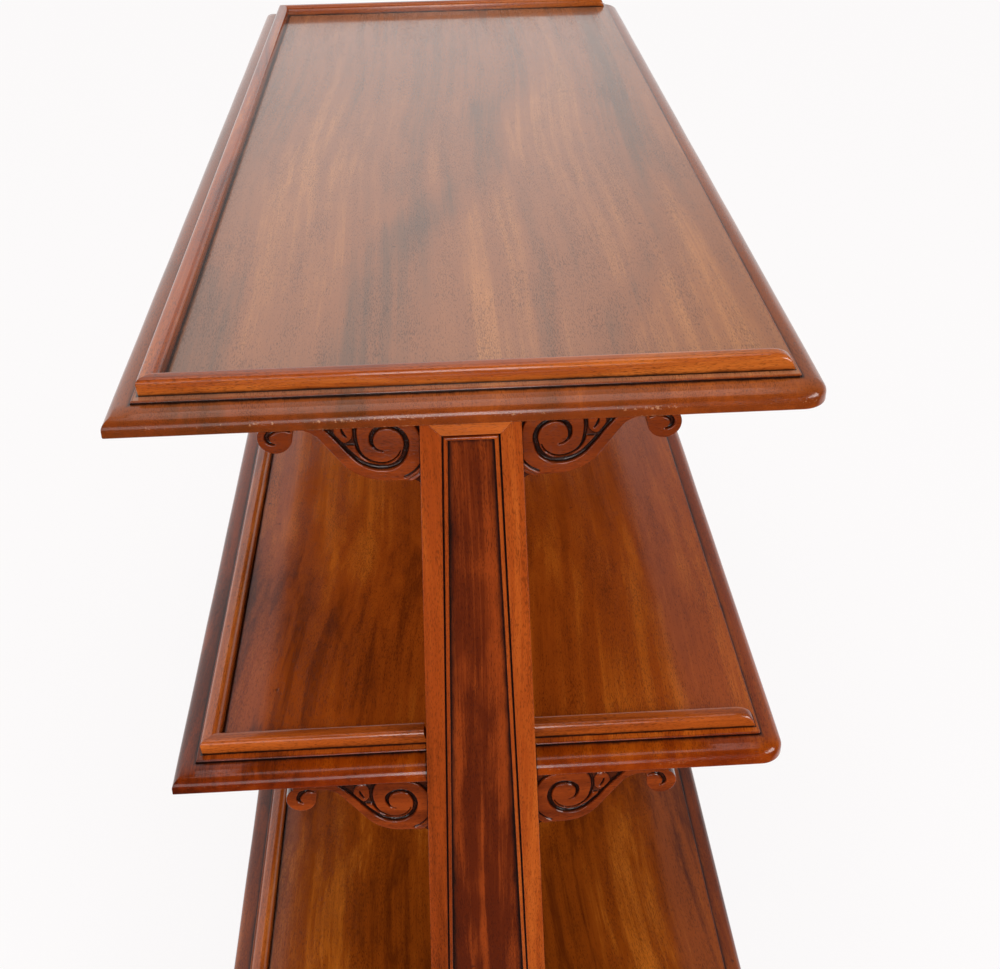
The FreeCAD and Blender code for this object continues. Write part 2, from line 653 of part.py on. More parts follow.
def four_corners(shape):
    return both_ends(shape) + both_ends(mirrored_y(shape))


def build_dowels():
    """All dowels of the brackets."""
    pairs = [bracket_dowels(TIER_LEVELS[tier]) for tier in BRACKETED]
    return [copy for pair in pairs for dowel in pair for copy in four_corners(dowel)]


def build_tiers(nodes, dowels):
    """Three boards: the top one mortised for the standards, the lower ones notched round them."""
    for name, z in TIER_LEVELS.items():
        length = TOP_LENGTH if name == "top" else LOWER_LENGTH
        board = tier_board(length).translated(vec(0, 0, z))
        joints = top_tenon(TENON_CLEARANCE) if name == "top" else standard_prism(NOTCH_CLEARANCE)
        cutters = both_ends(joints) + [d for d in dowels if abs(d.BoundBox.ZMax - z - DOWEL_IN_TIER) < 1e-6]
        cutters += [tool.translated(vec(0, 0, z + BOARD_THICKNESS)) for tool in gallery_housings(length)]
        nodes[name + "_tier_board"] = cleaned(board.cut(cutters))


def build_galleries(nodes):
    """Three-sided galleries, stopped against the standards on the lower tiers."""
    for name, z in TIER_LEVELS.items():
        length = TOP_LENGTH if name == "top" else LOWER_LENGTH
        field = z + BOARD_THICKNESS
        nodes[name + "_gallery_back"] = back_strip(length, field)
        strip = end_strip(length, field)
        for end in ENDS:
            if name == "top":
                nodes["top_gallery_" + end] = at_end(strip, end)
                continue
            halves = sorted(strip.cut(standard_prism(0)).Solids, key=lambda s: s.CenterOfMass.y)
            nodes[name + "_gallery_" + end + "_front"] = at_end(halves[0], end)
            nodes[name + "_gallery_" + end + "_rear"] = at_end(halves[-1], end)


def build_standards(nodes, dowels):
    """Core, mitred frame, sunk panel and bead at each end."""
    frame = standard_frame()
    for end, sign in ENDS.items():
        near = [d for d in dowels if d.CenterOfMass.x * sign > 0]
        nodes[end + "_standard_core"] = at_end(standard_core(), end).cut(near)
        nodes[end + "_standard_top_rail"] = at_end(frame["top"], end)
        nodes[end + "_standard_bottom_rail"] = at_end(frame["bottom"], end)
        nodes[end + "_standard_front_stile"] = at_end(frame["front"], end)
        nodes[end + "_standard_rear_stile"] = at_end(frame["rear"], end)
        nodes[end + "_standard_panel"] = at_end(standard_panel(), end)
        nodes[end + "_standard_bead"] = at_end(panel_bead(), end)


def build_brackets(nodes, dowels):
    """Eight carved brackets, one each side of a standard under the top and middle tiers."""
    for tier, (outline, grooves) in BRACKETED.items():
        shape = bracket(TIER_LEVELS[tier], outline, grooves).cut(dowels)
        for end in ENDS:
            for side in SIDES:
                nodes[tier + "_bracket_" + end + "_" + side] = at_side(at_end(shape, end), side)


def build_base(nodes):
    """Two sledge feet on four castors, with the screws of the castor plates."""
    plate = castor_plate()
    screws = []
    sledge = foot().cut([foot_tenon(TENON_CLEARANCE)])
    recess_depth = STUD_HEAD_HEIGHT + 3 * SWIVEL_GAP
    recess = Part.makeCylinder(STUD_RECESS_RADIUS, recess_depth, vec(0, 0, CASTOR_HEIGHT))
    for end, x_sign in ENDS.items():
        cutters = []
        for side, y_sign in SIDES.items():
            driven = [placed_square(screw(x, y, True), x_sign, y_sign) for x, y in screw_places()]
            screws += driven
            cutters += driven + [placed_square(recess, x_sign, y_sign)]
            name = end + "_" + side + "_castor_"
            nodes[name + "plate"] = placed_square(plate, x_sign, y_sign)
            nodes[name + "fork"] = placed_castor(castor_fork(), x_sign, y_sign)
            nodes[name + "axle"] = placed_castor(castor_axle(), x_sign, y_sign)
            nodes[name + "wheel"] = placed_castor(castor_wheel(), x_sign, y_sign)
        nodes[end + "_foot"] = at_end(sledge, end).cut(cutters)
    nodes["castor_screws"] = Part.makeCompound(screws)


def build_hidden(nodes, dowels):
    """Dowels of the brackets and the glue blocks under the tiers."""
    nodes["bracket_dowels"] = Part.makeCompound(dowels)
    foot_back = STANDARD_MIDDLE - FOOT_THICKNESS / 2
    blocks = []
    for face_x, z in ((CORE_BACK, TOP_TIER_Z), (CORE_BACK, MIDDLE_TIER_Z), (foot_back, BOTTOM_TIER_Z)):
        blocks += both_ends(glue_block(face_x, z))
    nodes["glue_blocks"] = Part.makeCompound(blocks)


def build():
    nodes = {}
    dowels = build_dowels()
    build_tiers(nodes, dowels)
    build_galleries(nodes)
    build_standards(nodes, dowels)
    build_brackets(nodes, dowels)
    build_base(nodes)
    build_hidden(nodes, dowels)
    return nodes


os.makedirs("parts", exist_ok=True)
for node, shape in build().items():
    shape.exportStep(os.path.join("parts", node + ".step"))
    print(node, len(shape.Solids), round(shape.Volume), shape.isValid())
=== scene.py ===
"""A three-tier mahogany dumbwaiter: French-polished boards with moulded edges and low galleries,
panelled standards with carved scroll brackets, sledge feet and brass castors."""
import bmesh
import bpy
import math
import numpy as np
from mathutils import Matrix, Vector
from mathutils.geometry import delaunay_2d_cdt


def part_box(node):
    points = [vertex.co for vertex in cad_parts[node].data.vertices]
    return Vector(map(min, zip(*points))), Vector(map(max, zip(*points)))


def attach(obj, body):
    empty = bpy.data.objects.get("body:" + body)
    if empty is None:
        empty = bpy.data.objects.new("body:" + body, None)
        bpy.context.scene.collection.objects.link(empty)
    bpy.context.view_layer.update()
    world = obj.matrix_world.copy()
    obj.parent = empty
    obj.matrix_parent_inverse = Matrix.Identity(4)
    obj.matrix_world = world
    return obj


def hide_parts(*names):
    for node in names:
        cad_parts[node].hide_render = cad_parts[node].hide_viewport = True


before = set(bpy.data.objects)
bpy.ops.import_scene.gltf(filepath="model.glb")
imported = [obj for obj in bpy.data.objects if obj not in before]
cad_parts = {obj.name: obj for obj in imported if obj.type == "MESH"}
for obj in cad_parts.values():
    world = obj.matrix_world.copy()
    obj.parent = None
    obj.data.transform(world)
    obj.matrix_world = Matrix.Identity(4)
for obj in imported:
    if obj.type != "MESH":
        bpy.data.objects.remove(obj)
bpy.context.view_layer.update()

# Sledge feet.  Each is one mahogany rail under a standard, sawn to its arch and shoulders, its
# edges eased with sandpaper, then stained and French-polished like the rest.
MM = 0.001
X, Y, Z = 0, 1, 2
MODEL_BODY = "frame"
FOOT_COLOURS = ("#A85A26", "#7E3A14", "#54230C")
FOOT_EASED = 1.5 * MM
EASED_EDGE = 0.9 * MM
MERGE_REACH = 0.01 * MM

# How mahogany is figured: each mark's length along the grain, its width across it and its share of
# the tone.  The width of the broad figure is each piece's own.
FIGURE_LENGTH, FIGURE_SHARE = 900 * MM, 0.52
RIBBON_LENGTH, RIBBON_WIDTH, RIBBON_SHARE = 1600 * MM, 11 * MM, 0.30
CURL_LENGTH, CURL_WIDTH, CURL_SHARE = 55 * MM, 20 * MM, 0.34
FIBRE_LENGTH, FIBRE_WIDTH, FIBRE_SHARE = 60 * MM, 1.4 * MM, 0.46
PORE_LENGTH, PORE_WIDTH, PORE_DEPTH = 4.5 * MM, 0.6 * MM, 0.04 * MM
PORE_CROWD = (120 * MM, 18 * MM)
# The edge colour darkens the mouldings of the boards as painted shade.
END_GRAIN_COLOUR, MOULDING_SHADE_COLOUR = "#DCC4A4", "#CCB88C"
# The near-black brown is for dirt and old polish, and for painted shade in creases and hollows.
PORE_COLOUR, GRIME_AND_SHADE_COLOUR = "#260D06", "#180C09"
BARE_COLOUR, KNOCK_COLOUR = "#C08A62", "#2A1209"
BLOTCH_LENGTH, BLOTCH_WIDTH = 30 * MM, 6 * MM
NICK_SIZE, NICK_CROWD = 2 * MM, 60 * MM
KNOCK_SPACING, KNOCK_SIZE = 62 * MM, 2.6 * MM
POLISH_WAVE = 34 * MM
POLISH_ROUGHNESS = 0.10
POLISH_IOR = 1.42


def colour(code):
    """Linear colour of an sRGB hex code."""
    channels = [int(code[i:i + 2], 16) / 255 for i in (1, 3, 5)]
    linear = [c / 12.92 if c <= 0.04045 else ((c + 0.055) / 1.055) ** 2.4 for c in channels]
    return (*linear, 1.0)


def add(tree, kind, inputs=None, **settings):
    """A new node with its settings; inputs gives a value or a link for each socket that needs one."""
    made = tree.nodes.new(kind)
    for key, value in settings.items():
        setattr(made, key, value)
    for key, value in (inputs or {}).items():
        if isinstance(value, bpy.types.NodeSocket):
            tree.links.new(value, made.inputs[key])
        else:
            made.inputs[key].default_value = value
    return made


def new_finish(name):
    """A material and its empty node tree."""
    material = bpy.data.materials.new(name)
    material.use_nodes = True
    material.node_tree.nodes.clear()
    return material, material.node_tree


def noise(tree, place, size, detail=2.0):
    """Noise whose marks are about so wide, from 0 to 1."""
    texture = add(tree, "ShaderNodeTexNoise", {"Vector": place, "Scale": 1 / size, "Detail": detail})
    return texture.outputs["Fac"]


def stretched_noise(tree, place, along, length, width, detail=2.0, distortion=0.0, start=(0, 0, 0)):
    """Noise whose marks are so long along the grain and so wide across it, from 0 to 1."""
    scale = [1 / width] * 3
    scale[along] = 1 / length
    fitted = add(tree, "ShaderNodeMapping", {"Vector": place, "Scale": scale, "Location": start})
    texture = add(tree, "ShaderNodeTexNoise", {"Vector": fitted.outputs[0], "Scale": 1.0, "Detail": detail,
                                               "Roughness": 0.55, "Distortion": distortion})
    return texture.outputs["Fac"]


def stepped(tree, value, low, high):
    """Value brought smoothly from 0 at low to 1 at high."""
    ramp = add(tree, "ShaderNodeMapRange", {"Value": value, "From Min": low, "From Max": high},
               interpolation_type="SMOOTHSTEP")
    return ramp.outputs["Result"]


def calculated(tree, operation, *values):
    return add(tree, "ShaderNodeMath", dict(enumerate(values)), operation=operation).outputs[0]


def times(tree, *factors):
    return calculated(tree, "MULTIPLY", *factors)


def scaled(tree, value, factor, offset):
    return calculated(tree, "MULTIPLY_ADD", value, factor, offset)


def less(tree, value, taken):
    return calculated(tree, "SUBTRACT", value, taken)


def opposite(tree, share):
    return less(tree, 1.0, share)


def larger(tree, first, second):
    return calculated(tree, "MAXIMUM", first, second)


def split(tree, vector):
    """The X, Y and Z of a vector."""
    return add(tree, "ShaderNodeSeparateXYZ", {0: vector}).outputs


def tinted(tree, amount, first, second, blend="MIX"):
    """First colour, going over to the second (or to their product) as amount goes from 0 to 1."""
    mix = add(tree, "ShaderNodeMix", {"Factor": amount, "A": first, "B": second}, data_type="RGBA",
              blend_type=blend)
    return mix.outputs["Result"]


def polished_mahogany(name, colours, along=X, figure=75 * MM, tone_shift=None, dirt=None, lively=1.0,
                      sway=0.12, gloss=POLISH_IOR, polish=1.0, moulding_shade_colour=MOULDING_SHADE_COLOUR, start=(0, 0, 0)):
    """French-polished mahogany.  Shellac, padded on by hand in many coats over filled grain, gives a
    deep clear gloss that is never quite flat.  Under it the wood runs from light to dark in bands of
    figure, with ribbon stripes, curl, fine fibres, short dark pores and a few small knocks.  The
    pores are drawn about twice as wide as real ones, so that they show.

    Marks on the mesh do the rest: "edge" is the moulding, darkened as painted shade (on the top board with
    a painted sheen),
    "recess" holds dirt and old polish with painted shade in creases and hollows, and along "arris" the bare
    wood shows in nicks."""
    light, middle, dark = [colour(code) for code in colours]
    material, tree = new_finish(name)
    here = add(tree, "ShaderNodeTexCoord").outputs["Object"]
    reach, swing = [0.5] * 3, [sway] * 3
    reach[along], swing[along] = 1.2, 0.0
    drawn = add(tree, "ShaderNodeMapping", {"Vector": here, "Scale": reach, "Location": start}).outputs[0]
    lean = add(tree, "ShaderNodeTexNoise", {"Vector": drawn, "Scale": 1.0, "Detail": 1.0}).outputs["Color"]
    swayed = add(tree, "ShaderNodeVectorMath", {0: lean, 1: swing}, operation="MULTIPLY").outputs[0]
    grain = add(tree, "ShaderNodeVectorMath", {0: here, 1: swayed}, operation="ADD").outputs[0]

    broad = stretched_noise(tree, grain, along, FIGURE_LENGTH, figure, 2.0, 0.3, start)
    ribbon = stretched_noise(tree, grain, along, RIBBON_LENGTH, RIBBON_WIDTH, 2.0, 0.1, start)
    curl = stretched_noise(tree, here, along, CURL_LENGTH, CURL_WIDTH, 2.0, 0.8, start)
    fibre = stretched_noise(tree, grain, along, FIBRE_LENGTH, FIBRE_WIDTH, 2.0)
    parts = ((stepped(tree, broad, 0.36, 0.64), FIGURE_SHARE),
             (stepped(tree, ribbon, 0.36, 0.66), RIBBON_SHARE), (curl, CURL_SHARE), (fibre, FIBRE_SHARE))
    tone = 0.5
    for part, share in parts:
        share *= lively
        tone = calculated(tree, "ADD", scaled(tree, part, share, -share / 2), tone)
    # The tone shift is figure, and on the panel and the middle board also painted shade and painted light.
    if tone_shift is not None:
        tone = less(tree, tone, tone_shift(tree, here))
    wood = tinted(tree, stepped(tree, tone, -0.05, 0.5), dark, middle)
    wood = tinted(tree, stepped(tree, tone, 0.45, 1.05), wood, light)

    facing = split(tree, add(tree, "ShaderNodeNewGeometry").outputs["Normal"])
    cut = stepped(tree, calculated(tree, "ABSOLUTE", facing[along]), 0.35, 0.9)
    wood = tinted(tree, cut, wood, colour(END_GRAIN_COLOUR), "MULTIPLY")
    pores = stretched_noise(tree, grain, along, PORE_LENGTH, PORE_WIDTH, 1.0)
    crowd = stretched_noise(tree, here, along, *PORE_CROWD, 1.0)
    pore = stepped(tree, scaled(tree, crowd, 0.30, pores), 0.70, 0.80)
    wood = tinted(tree, times(tree, pore, 0.44), wood, colour(PORE_COLOUR))

    edge, recess, arris = [add(tree, "ShaderNodeAttribute", attribute_name=mark).outputs["Fac"]
                           for mark in ("edge", "recess", "arris")]
    # Painted shade: the moulding is multiplied by a darker colour, on the top board by a yellower one that
    # paints a sheen.
    wood = tinted(tree, edge, wood, colour(moulding_shade_colour), "MULTIPLY")
    # Dirt and old polish, with painted shade in creases, hollows and along the strips' feet, darken the
    # wood towards a near-black brown.
    if dirt is not None:
        recess = larger(tree, recess, dirt(tree, here))
    blotches = stretched_noise(tree, here, along, BLOTCH_LENGTH, BLOTCH_WIDTH)
    grime_and_shade = scaled(tree, blotches, 0.7, times(tree, recess, 1.2))
    grime_and_shade = times(tree, stepped(tree, grime_and_shade, 0.55, 1.35), 0.93)
    wood = tinted(tree, grime_and_shade, wood, colour(GRIME_AND_SHADE_COLOUR))
    crowd = scaled(tree, noise(tree, here, NICK_CROWD), 0.8, -0.4)
    nicked = calculated(tree, "ADD", noise(tree, here, NICK_SIZE), crowd)
    worn = times(tree, arris, stepped(tree, nicked, 0.62, 0.74))
    wood = tinted(tree, times(tree, worn, 0.62), wood, colour(BARE_COLOUR))

    knocks = add(tree, "ShaderNodeTexVoronoi", {"Vector": here, "Scale": 1 / KNOCK_SPACING})
    size = KNOCK_SIZE / KNOCK_SPACING
    knock = opposite(tree, stepped(tree, knocks.outputs["Distance"], 0.3 * size, size))
    wood = tinted(tree, times(tree, knock, 0.6), wood, colour(KNOCK_COLOUR))

    height = scaled(tree, pore, -1.0, times(tree, noise(tree, here, POLISH_WAVE), 4.4))
    height = scaled(tree, larger(tree, worn, knock), -3.0, height)
    bump = add(tree, "ShaderNodeBump", {"Strength": 0.5, "Distance": PORE_DEPTH, "Height": height})
    surface = add(tree, "ShaderNodeBsdfPrincipled", {
        "Base Color": wood, "Roughness": 0.5, "IOR": 1.5, "Specular IOR Level": 0.0,
        "Normal": bump.outputs[0], "Coat Weight": polish, "Coat Roughness": POLISH_ROUGHNESS,
        "Coat IOR": gloss, "Coat Normal": bump.outputs[0]})
    add(tree, "ShaderNodeOutputMaterial", {"Surface": surface.outputs[0]})
    return material


def placed(name, data):
    """A new object in the scene."""
    made = bpy.data.objects.new(name, data)
    bpy.context.scene.collection.objects.link(made)
    return made


def finished(node, material):
    """Gives a piece of the frame its finish."""
    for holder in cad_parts[node].material_slots:
        holder.material = material


def standing_for(piece, node, material, body=MODEL_BODY):
    """Puts a made piece in the place of a piece of the frame."""
    if material is not None:
        piece.data.materials.clear()
        piece.data.materials.append(material)
    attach(piece, body)
    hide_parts(node)
    return piece


def eased(node, material, width=EASED_EDGE):
    """A copy of a piece of the frame with its sharp edges rounded, as sandpaper leaves them."""
    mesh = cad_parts[node].data.copy()
    mesh.name = node + "_eased"
    shape = bmesh.new()
    shape.from_mesh(mesh)
    bmesh.ops.remove_doubles(shape, verts=shape.verts, dist=MERGE_REACH)
    bmesh.ops.dissolve_limit(shape, angle_limit=math.radians(1), verts=shape.verts, edges=shape.edges)
    shape.to_mesh(mesh)
    shape.free()
    mesh.validate()
    piece = placed(node + "_eased", mesh)
    rounding = piece.modifiers.new("rounding", "BEVEL")
    rounding.width = width
    rounding.segments = 3
    rounding.limit_method = "ANGLE"
    rounding.angle_limit = math.radians(40)
    rounding.harden_normals = True
    settle(piece)
    return standing_for(piece, node, material)


def settle(piece):
    """Applies what a piece's modifiers make of it."""
    bpy.context.view_layer.update()
    result = bpy.data.meshes.new_from_object(piece.evaluated_get(bpy.context.evaluated_depsgraph_get()))
    piece.modifiers.clear()
    piece.data = result


foot_wood = polished_mahogany("polished_mahogany_foot", FOOT_COLOURS, along=Y)
for end in ("left", "right"):
    eased(end + "_foot", foot_wood, FOOT_EASED)


# Castors.  Each has a brass plate screwed under a toe, a cast fork that swivels in it, and a turned
# wheel on an axle, also of brass.  A century of handling has browned the metal in patches and left
# it bright between them.
BRASS_COLOURS = ("#C6A264", "#A07C44", "#6C5028")
CAST_GRAIN = 1.1 * MM
TURNED_LINE = 0.7 * MM
BRASS_PATCH = 13 * MM
TOOLED_DEPTH = 0.1 * MM


def aged_brass(name, grain):
    """Old brass, cast and then turned or filed: yellow-brown, browner in patches, with a fine
    tooled surface that blurs what it reflects."""
    light, middle, dark = [colour(code) for code in BRASS_COLOURS]
    material, tree = new_finish(name)
    here = add(tree, "ShaderNodeTexCoord").outputs["Object"]
    patches, specks = noise(tree, here, BRASS_PATCH, 3.0), noise(tree, here, grain)
    metal = tinted(tree, stepped(tree, patches, 0.30, 0.55), dark, middle)
    metal = tinted(tree, stepped(tree, patches, 0.48, 0.75), metal, light)
    rough = scaled(tree, patches, -0.25, 0.48)
    bump = add(tree, "ShaderNodeBump", {"Strength": 0.35, "Distance": TOOLED_DEPTH, "Height": specks})
    surface = add(tree, "ShaderNodeBsdfPrincipled", {
        "Base Color": metal, "Metallic": 1.0, "Roughness": rough, "Normal": bump.outputs[0]})
    add(tree, "ShaderNodeOutputMaterial", {"Surface": surface.outputs[0]})
    return material


cast_brass = aged_brass("aged_cast_brass", CAST_GRAIN)
turned_brass = aged_brass("aged_turned_brass", TURNED_LINE)
for end in ("left", "right"):
    for side in ("front", "rear"):
        for part, brass in (("plate", cast_brass), ("fork", cast_brass),
                            ("axle", turned_brass), ("wheel", turned_brass)):
            finished(f"{end}_{side}_castor_{part}", brass)
finished("castor_screws", turned_brass)


# Standards.  A thick core carries a mitred frame of straight-grained stiles and rails.  In the frame
# lies a thin panel cut from darker figured wood, with a fine bead round it and a dark groove
# between bead and frame.
STILE_COLOURS = ("#BE5E1E", "#923C0F", "#602406")
# The rails are given lighter colours than the stiles: painted light, for the light that falls on the top
# rail just under the tier.
RAIL_PAINTED_LIGHT_COLOURS = ("#E28238", "#B65A20", "#7C3710")
PANEL_COLOURS = ("#BC521F", "#8A3810", "#541C07")
CORE_COLOURS = ("#A55522", "#7C3712", "#56220B")
ARRIS = 0.4 * MM
STANDARD_TAPER = 0.027
# How dark the panel's hidden back and sides are painted: painted shade with old polish.
PANEL_BACK_DIRT_AND_SHADE = 0.85
PANEL_STEP = 6 * MM
CLOUD_LENGTH, CLOUD_WIDTH = 85 * MM, 34 * MM

# The darkening of the panel from its edge inwards, old polish and painted shade where frame and bead stand
# over it: (millimetres in, how dark).
PANEL_EDGE = ((0.0, 1.0), (1.6, 1.0), (4.8, 0.95), (6.4, 0.62), (9.0, 0.32), (13.0, 0.12), (18.0, 0.0))


def made_mesh(name, verts, faces, marks, material, node, crease=32):
    """A closed mesh in the place of a piece of the frame, with its marks kept on its points."""
    mesh = bpy.data.meshes.new(name)
    mesh.from_pydata(verts, [], faces)
    for mark, values in marks.items():
        mesh.attributes.new(mark, "FLOAT", "POINT").data.foreach_set("value", values)
    shape = bmesh.new()
    shape.from_mesh(mesh)
    if shape.calc_volume(signed=True) < 0:
        bmesh.ops.reverse_faces(shape, faces=shape.faces)
    shape.to_mesh(mesh)
    shape.free()
    mesh.shade_smooth()
    mesh.set_sharp_from_angle(angle=math.radians(crease))
    return standing_for(placed(name, mesh), node, material)


def tapered_panel(node, material):
    """The panel, narrower upwards, with marks that darken it along its edges: old polish, and painted shade
    under the frame and bead.
    """
    low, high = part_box(node)
    face, back = (high.x, low.x) if high.x > 0 else (low.x, high.x)
    insets = [d for d, _ in PANEL_EDGE]
    levels = [low.z + d * MM for d in insets]
    count = round((high.z - low.z) / PANEL_STEP)
    levels += [low.z + (high.z - low.z) * i / count for i in range(4, count - 3)]
    levels += [high.z - d * MM for d in reversed(insets)]
    verts, recess = [], []
    for z in levels:
        half = high.y - STANDARD_TAPER * (z - low.z)
        places = [-half + d * MM for d in insets] + [0.0] + [half - d * MM for d in reversed(insets)]
        for y in places:
            reach = min(half - abs(y), z - low.z, high.z - z) / MM
            verts.append((face, y, z))
            recess.append(float(np.interp(reach, *zip(*PANEL_EDGE))))
    across, up = 2 * len(insets) + 1, len(levels)
    faces = [(r * across + c, r * across + c + 1, (r + 1) * across + c + 1, (r + 1) * across + c)
             for r in range(up - 1) for c in range(across - 1)]
    rim = (list(range(across)) + [r * across + across - 1 for r in range(1, up)]
           + [(up - 1) * across + c for c in range(across - 2, -1, -1)]
           + [r * across for r in range(up - 2, 0, -1)])
    first = len(verts)
    for i in rim:
        verts.append((back, verts[i][1], verts[i][2]))
        recess.append(PANEL_BACK_DIRT_AND_SHADE)
    total = len(rim)
    faces += [(rim[(i + 1) % total], rim[i], first + i, first + (i + 1) % total) for i in range(total)]
    faces.append([first + i for i in reversed(range(total))])
    made_mesh(node + "_sunk", verts, faces, {"recess": recess}, material, node)


def panel_clouds_and_shade(tree, here):
    """Dark clouds in the panel's figure, and painted shade that darkens it towards the bottom, where less
    light falls.
    """
    cloud = stretched_noise(tree, here, Z, CLOUD_LENGTH, CLOUD_WIDTH, 1.0, 0.5)
    low = opposite(tree, stepped(tree, split(tree, here)["Z"], 0.35, 0.75))
    return scaled(tree, stepped(tree, cloud, 0.30, 0.75), 0.26, scaled(tree, low, 0.16, -0.10))


stile_wood, rail_wood = [
    polished_mahogany("polished_mahogany_" + part, shades, along=along, figure=50 * MM, lively=0.8)
    for part, shades, along in (("stiles", STILE_COLOURS, Z), ("rails_painted_light", RAIL_PAINTED_LIGHT_COLOURS, Y))]
panel_wood = polished_mahogany("polished_mahogany_panel", PANEL_COLOURS, along=Z, figure=35 * MM,
                               tone_shift=panel_clouds_and_shade, lively=1.1, sway=0.05)
core_wood = polished_mahogany("polished_mahogany_core", CORE_COLOURS, along=Z, figure=60 * MM)
for end in ("left", "right"):
    standard = end + "_standard_"
    finished(standard + "core", core_wood)
    finished(standard + "bead", stile_wood)
    tapered_panel(standard + "panel", panel_wood)
    for piece, wood in (("front_stile", stile_wood), ("rear_stile", stile_wood),
                        ("top_rail", rail_wood), ("bottom_rail", rail_wood)):
        eased(standard + piece, wood, ARRIS)


# Tiers.  Each is a wide mahogany board, planed flat, with its edge worked by a moulding plane: a
# small square lip, an ovolo, and a step up to the field.  The back corners are mitred, the front
# ones rounded, and the lower tiers are notched round the standards.
LIP_HEIGHT, LIP_ROUND, LIP_STEPS = 7.0 * MM, 2.0 * MM, 4
LIP_RINGS = (1.2 * MM, 0.2 * MM)
OVOLO_WIDTH, OVOLO_RISE, OVOLO_STEPS = 18.6 * MM, 10.5 * MM, 14
QUIRK_WIDTH, QUIRK_DEPTH = 0.5 * MM, 0.7 * MM
STEP_ROUND, STEP_STEPS = 1.1 * MM, 3
UNDER_LIP, PAST_STEP = 0.6 * MM, 0.5 * MM
FRONT_CORNER_RADIUS, CORNER_STEPS = 21.0 * MM, 14
MITRE_ROOM = 2 * MM
WAVE_DEPTH = 0.25 * MM
STATION_GAP = 4.0 * MM

# Dirt and painted shade by step of the ovolo, up the quirk's wall and where the step's round starts, so
# that the quirk reads as a dark crease; wear by point of the profile, most along the lip's upper edge.
OVOLO_DIRT_AND_SHADE = {12: 0.12, 13: 0.4, 14: 0.75}
QUIRK_WALL_DIRT_AND_SHADE, STEP_DIRT_AND_SHADE = 0.85, 0.5
LIP_WEAR = {3: 0.4, 4: 0.6, 7: 1.0, 8: 0.8}
LOWER_WEAR = 0.3

STANDARD_TOP_HALF = 37.5 * MM
NOTCH_STATIONS = (4.0 * MM, 2.0 * MM, 0.8 * MM, 0.0)
NOTCH_ROOM = 0.2 * MM
NOTCH_DIRT, NOTCH_DIRT_REACH = 0.9, 1.2 * MM
FAR_FROM_NOTCH = 99 * MM
GALLERY_LEAN = 1.2 * MM
# How far the dark line at the strips' feet reaches, inside and out: dirt with painted shade.
STRIP_DIRT_AND_SHADE_INNER, STRIP_DIRT_AND_SHADE_OUTER = (-5 * MM, 0.5 * MM), (0.4 * MM, 3.2 * MM)
TIER_COLOURS = {
    "top": ("#C68450", "#9C6444", "#745441"),
    "middle": ("#D06C1E", "#AA4C12", "#702D0B"),
    "bottom": ("#D07220", "#98460E", "#602608"),
}
UNDERSIDE_COLOURS = ("#A05C28", "#7C4018", "#54260C")
# The top board's moulding is tinted yellower and less dark than the others': painted shade with a painted
# sheen.
TOP_MOULDING_SHADE_AND_SHEEN_COLOUR = "#E2B47C"
FIELD_IOR = {"top": 1.55, "middle": 1.40, "bottom": 1.40}
MOULDING_IOR = 1.40

# The top board's dark bands: half width in metres, strength, and the course as (share of the
# length from the left, share of the depth from the open front).  Their edges are frayed by marks of
# the length and width given, and the scale keeps each course inside the curve node's range.
BAND_FRAYING = 0.6
FRAY_LENGTH, FRAY_WIDTH = 220 * MM, 10 * MM
BOARD_LENGTH, BOARD_DEPTH = 1.25, 0.53
COURSE_SCALE = 0.7
TOP_BANDS = (
    (0.026, 0.36, ((0.0, 0.67), (0.07, 0.66), (0.24, 0.606), (0.31, 0.53), (0.41, 0.45), (0.54, 0.432),
                   (0.64, 0.355), (1.0, 0.33))),
    (0.014, 0.22, ((0.0, 0.30), (0.07, 0.29), (0.2, 0.18), (0.35, 0.15), (0.5, 0.13), (1.0, 0.10))),
    (0.026, 0.22, ((0.0, 0.85), (0.05, 0.87), (0.18, 0.91), (0.3, 1.2), (1.0, 1.3))),
    (0.055, 0.12, ((0.0, 1.3), (0.5, 1.0), (0.66, 0.80), (0.8, 0.76), (1.0, 0.76))),
)


def edge_profile(thickness):
    """Points of the moulding from under the lip up to the field: (inset, height, dirt and painted shade).
    """
    def turned(steps):
        angles = [math.pi / 2 * i / steps for i in range(steps + 1)]
        return [(i, 1 - math.cos(angle), math.sin(angle)) for i, angle in enumerate(angles)]

    points = [(LIP_ROUND + UNDER_LIP, 0, 0)]
    points += [(LIP_ROUND - LIP_ROUND * out, LIP_ROUND * up, 0) for i, up, out in turned(LIP_STEPS)]
    points += [(0, LIP_HEIGHT - below, 0) for below in LIP_RINGS]
    points += [(OVOLO_WIDTH * back, LIP_HEIGHT + OVOLO_RISE * up, OVOLO_DIRT_AND_SHADE.get(i, 0))
               for i, back, up in turned(OVOLO_STEPS)[1:]]
    shelf = LIP_HEIGHT + OVOLO_RISE
    step = OVOLO_WIDTH + QUIRK_WIDTH
    points.append((step, shelf - QUIRK_DEPTH, 1))
    points.append((step, (shelf + thickness) / 2, QUIRK_WALL_DIRT_AND_SHADE))
    points += [(step + STEP_ROUND * back, thickness - STEP_ROUND * (1 - up), STEP_DIRT_AND_SHADE if i == 0 else 0)
               for i, back, up in turned(STEP_STEPS)]
    points.append((step + STEP_ROUND + PAST_STEP, thickness, 0))
    return points


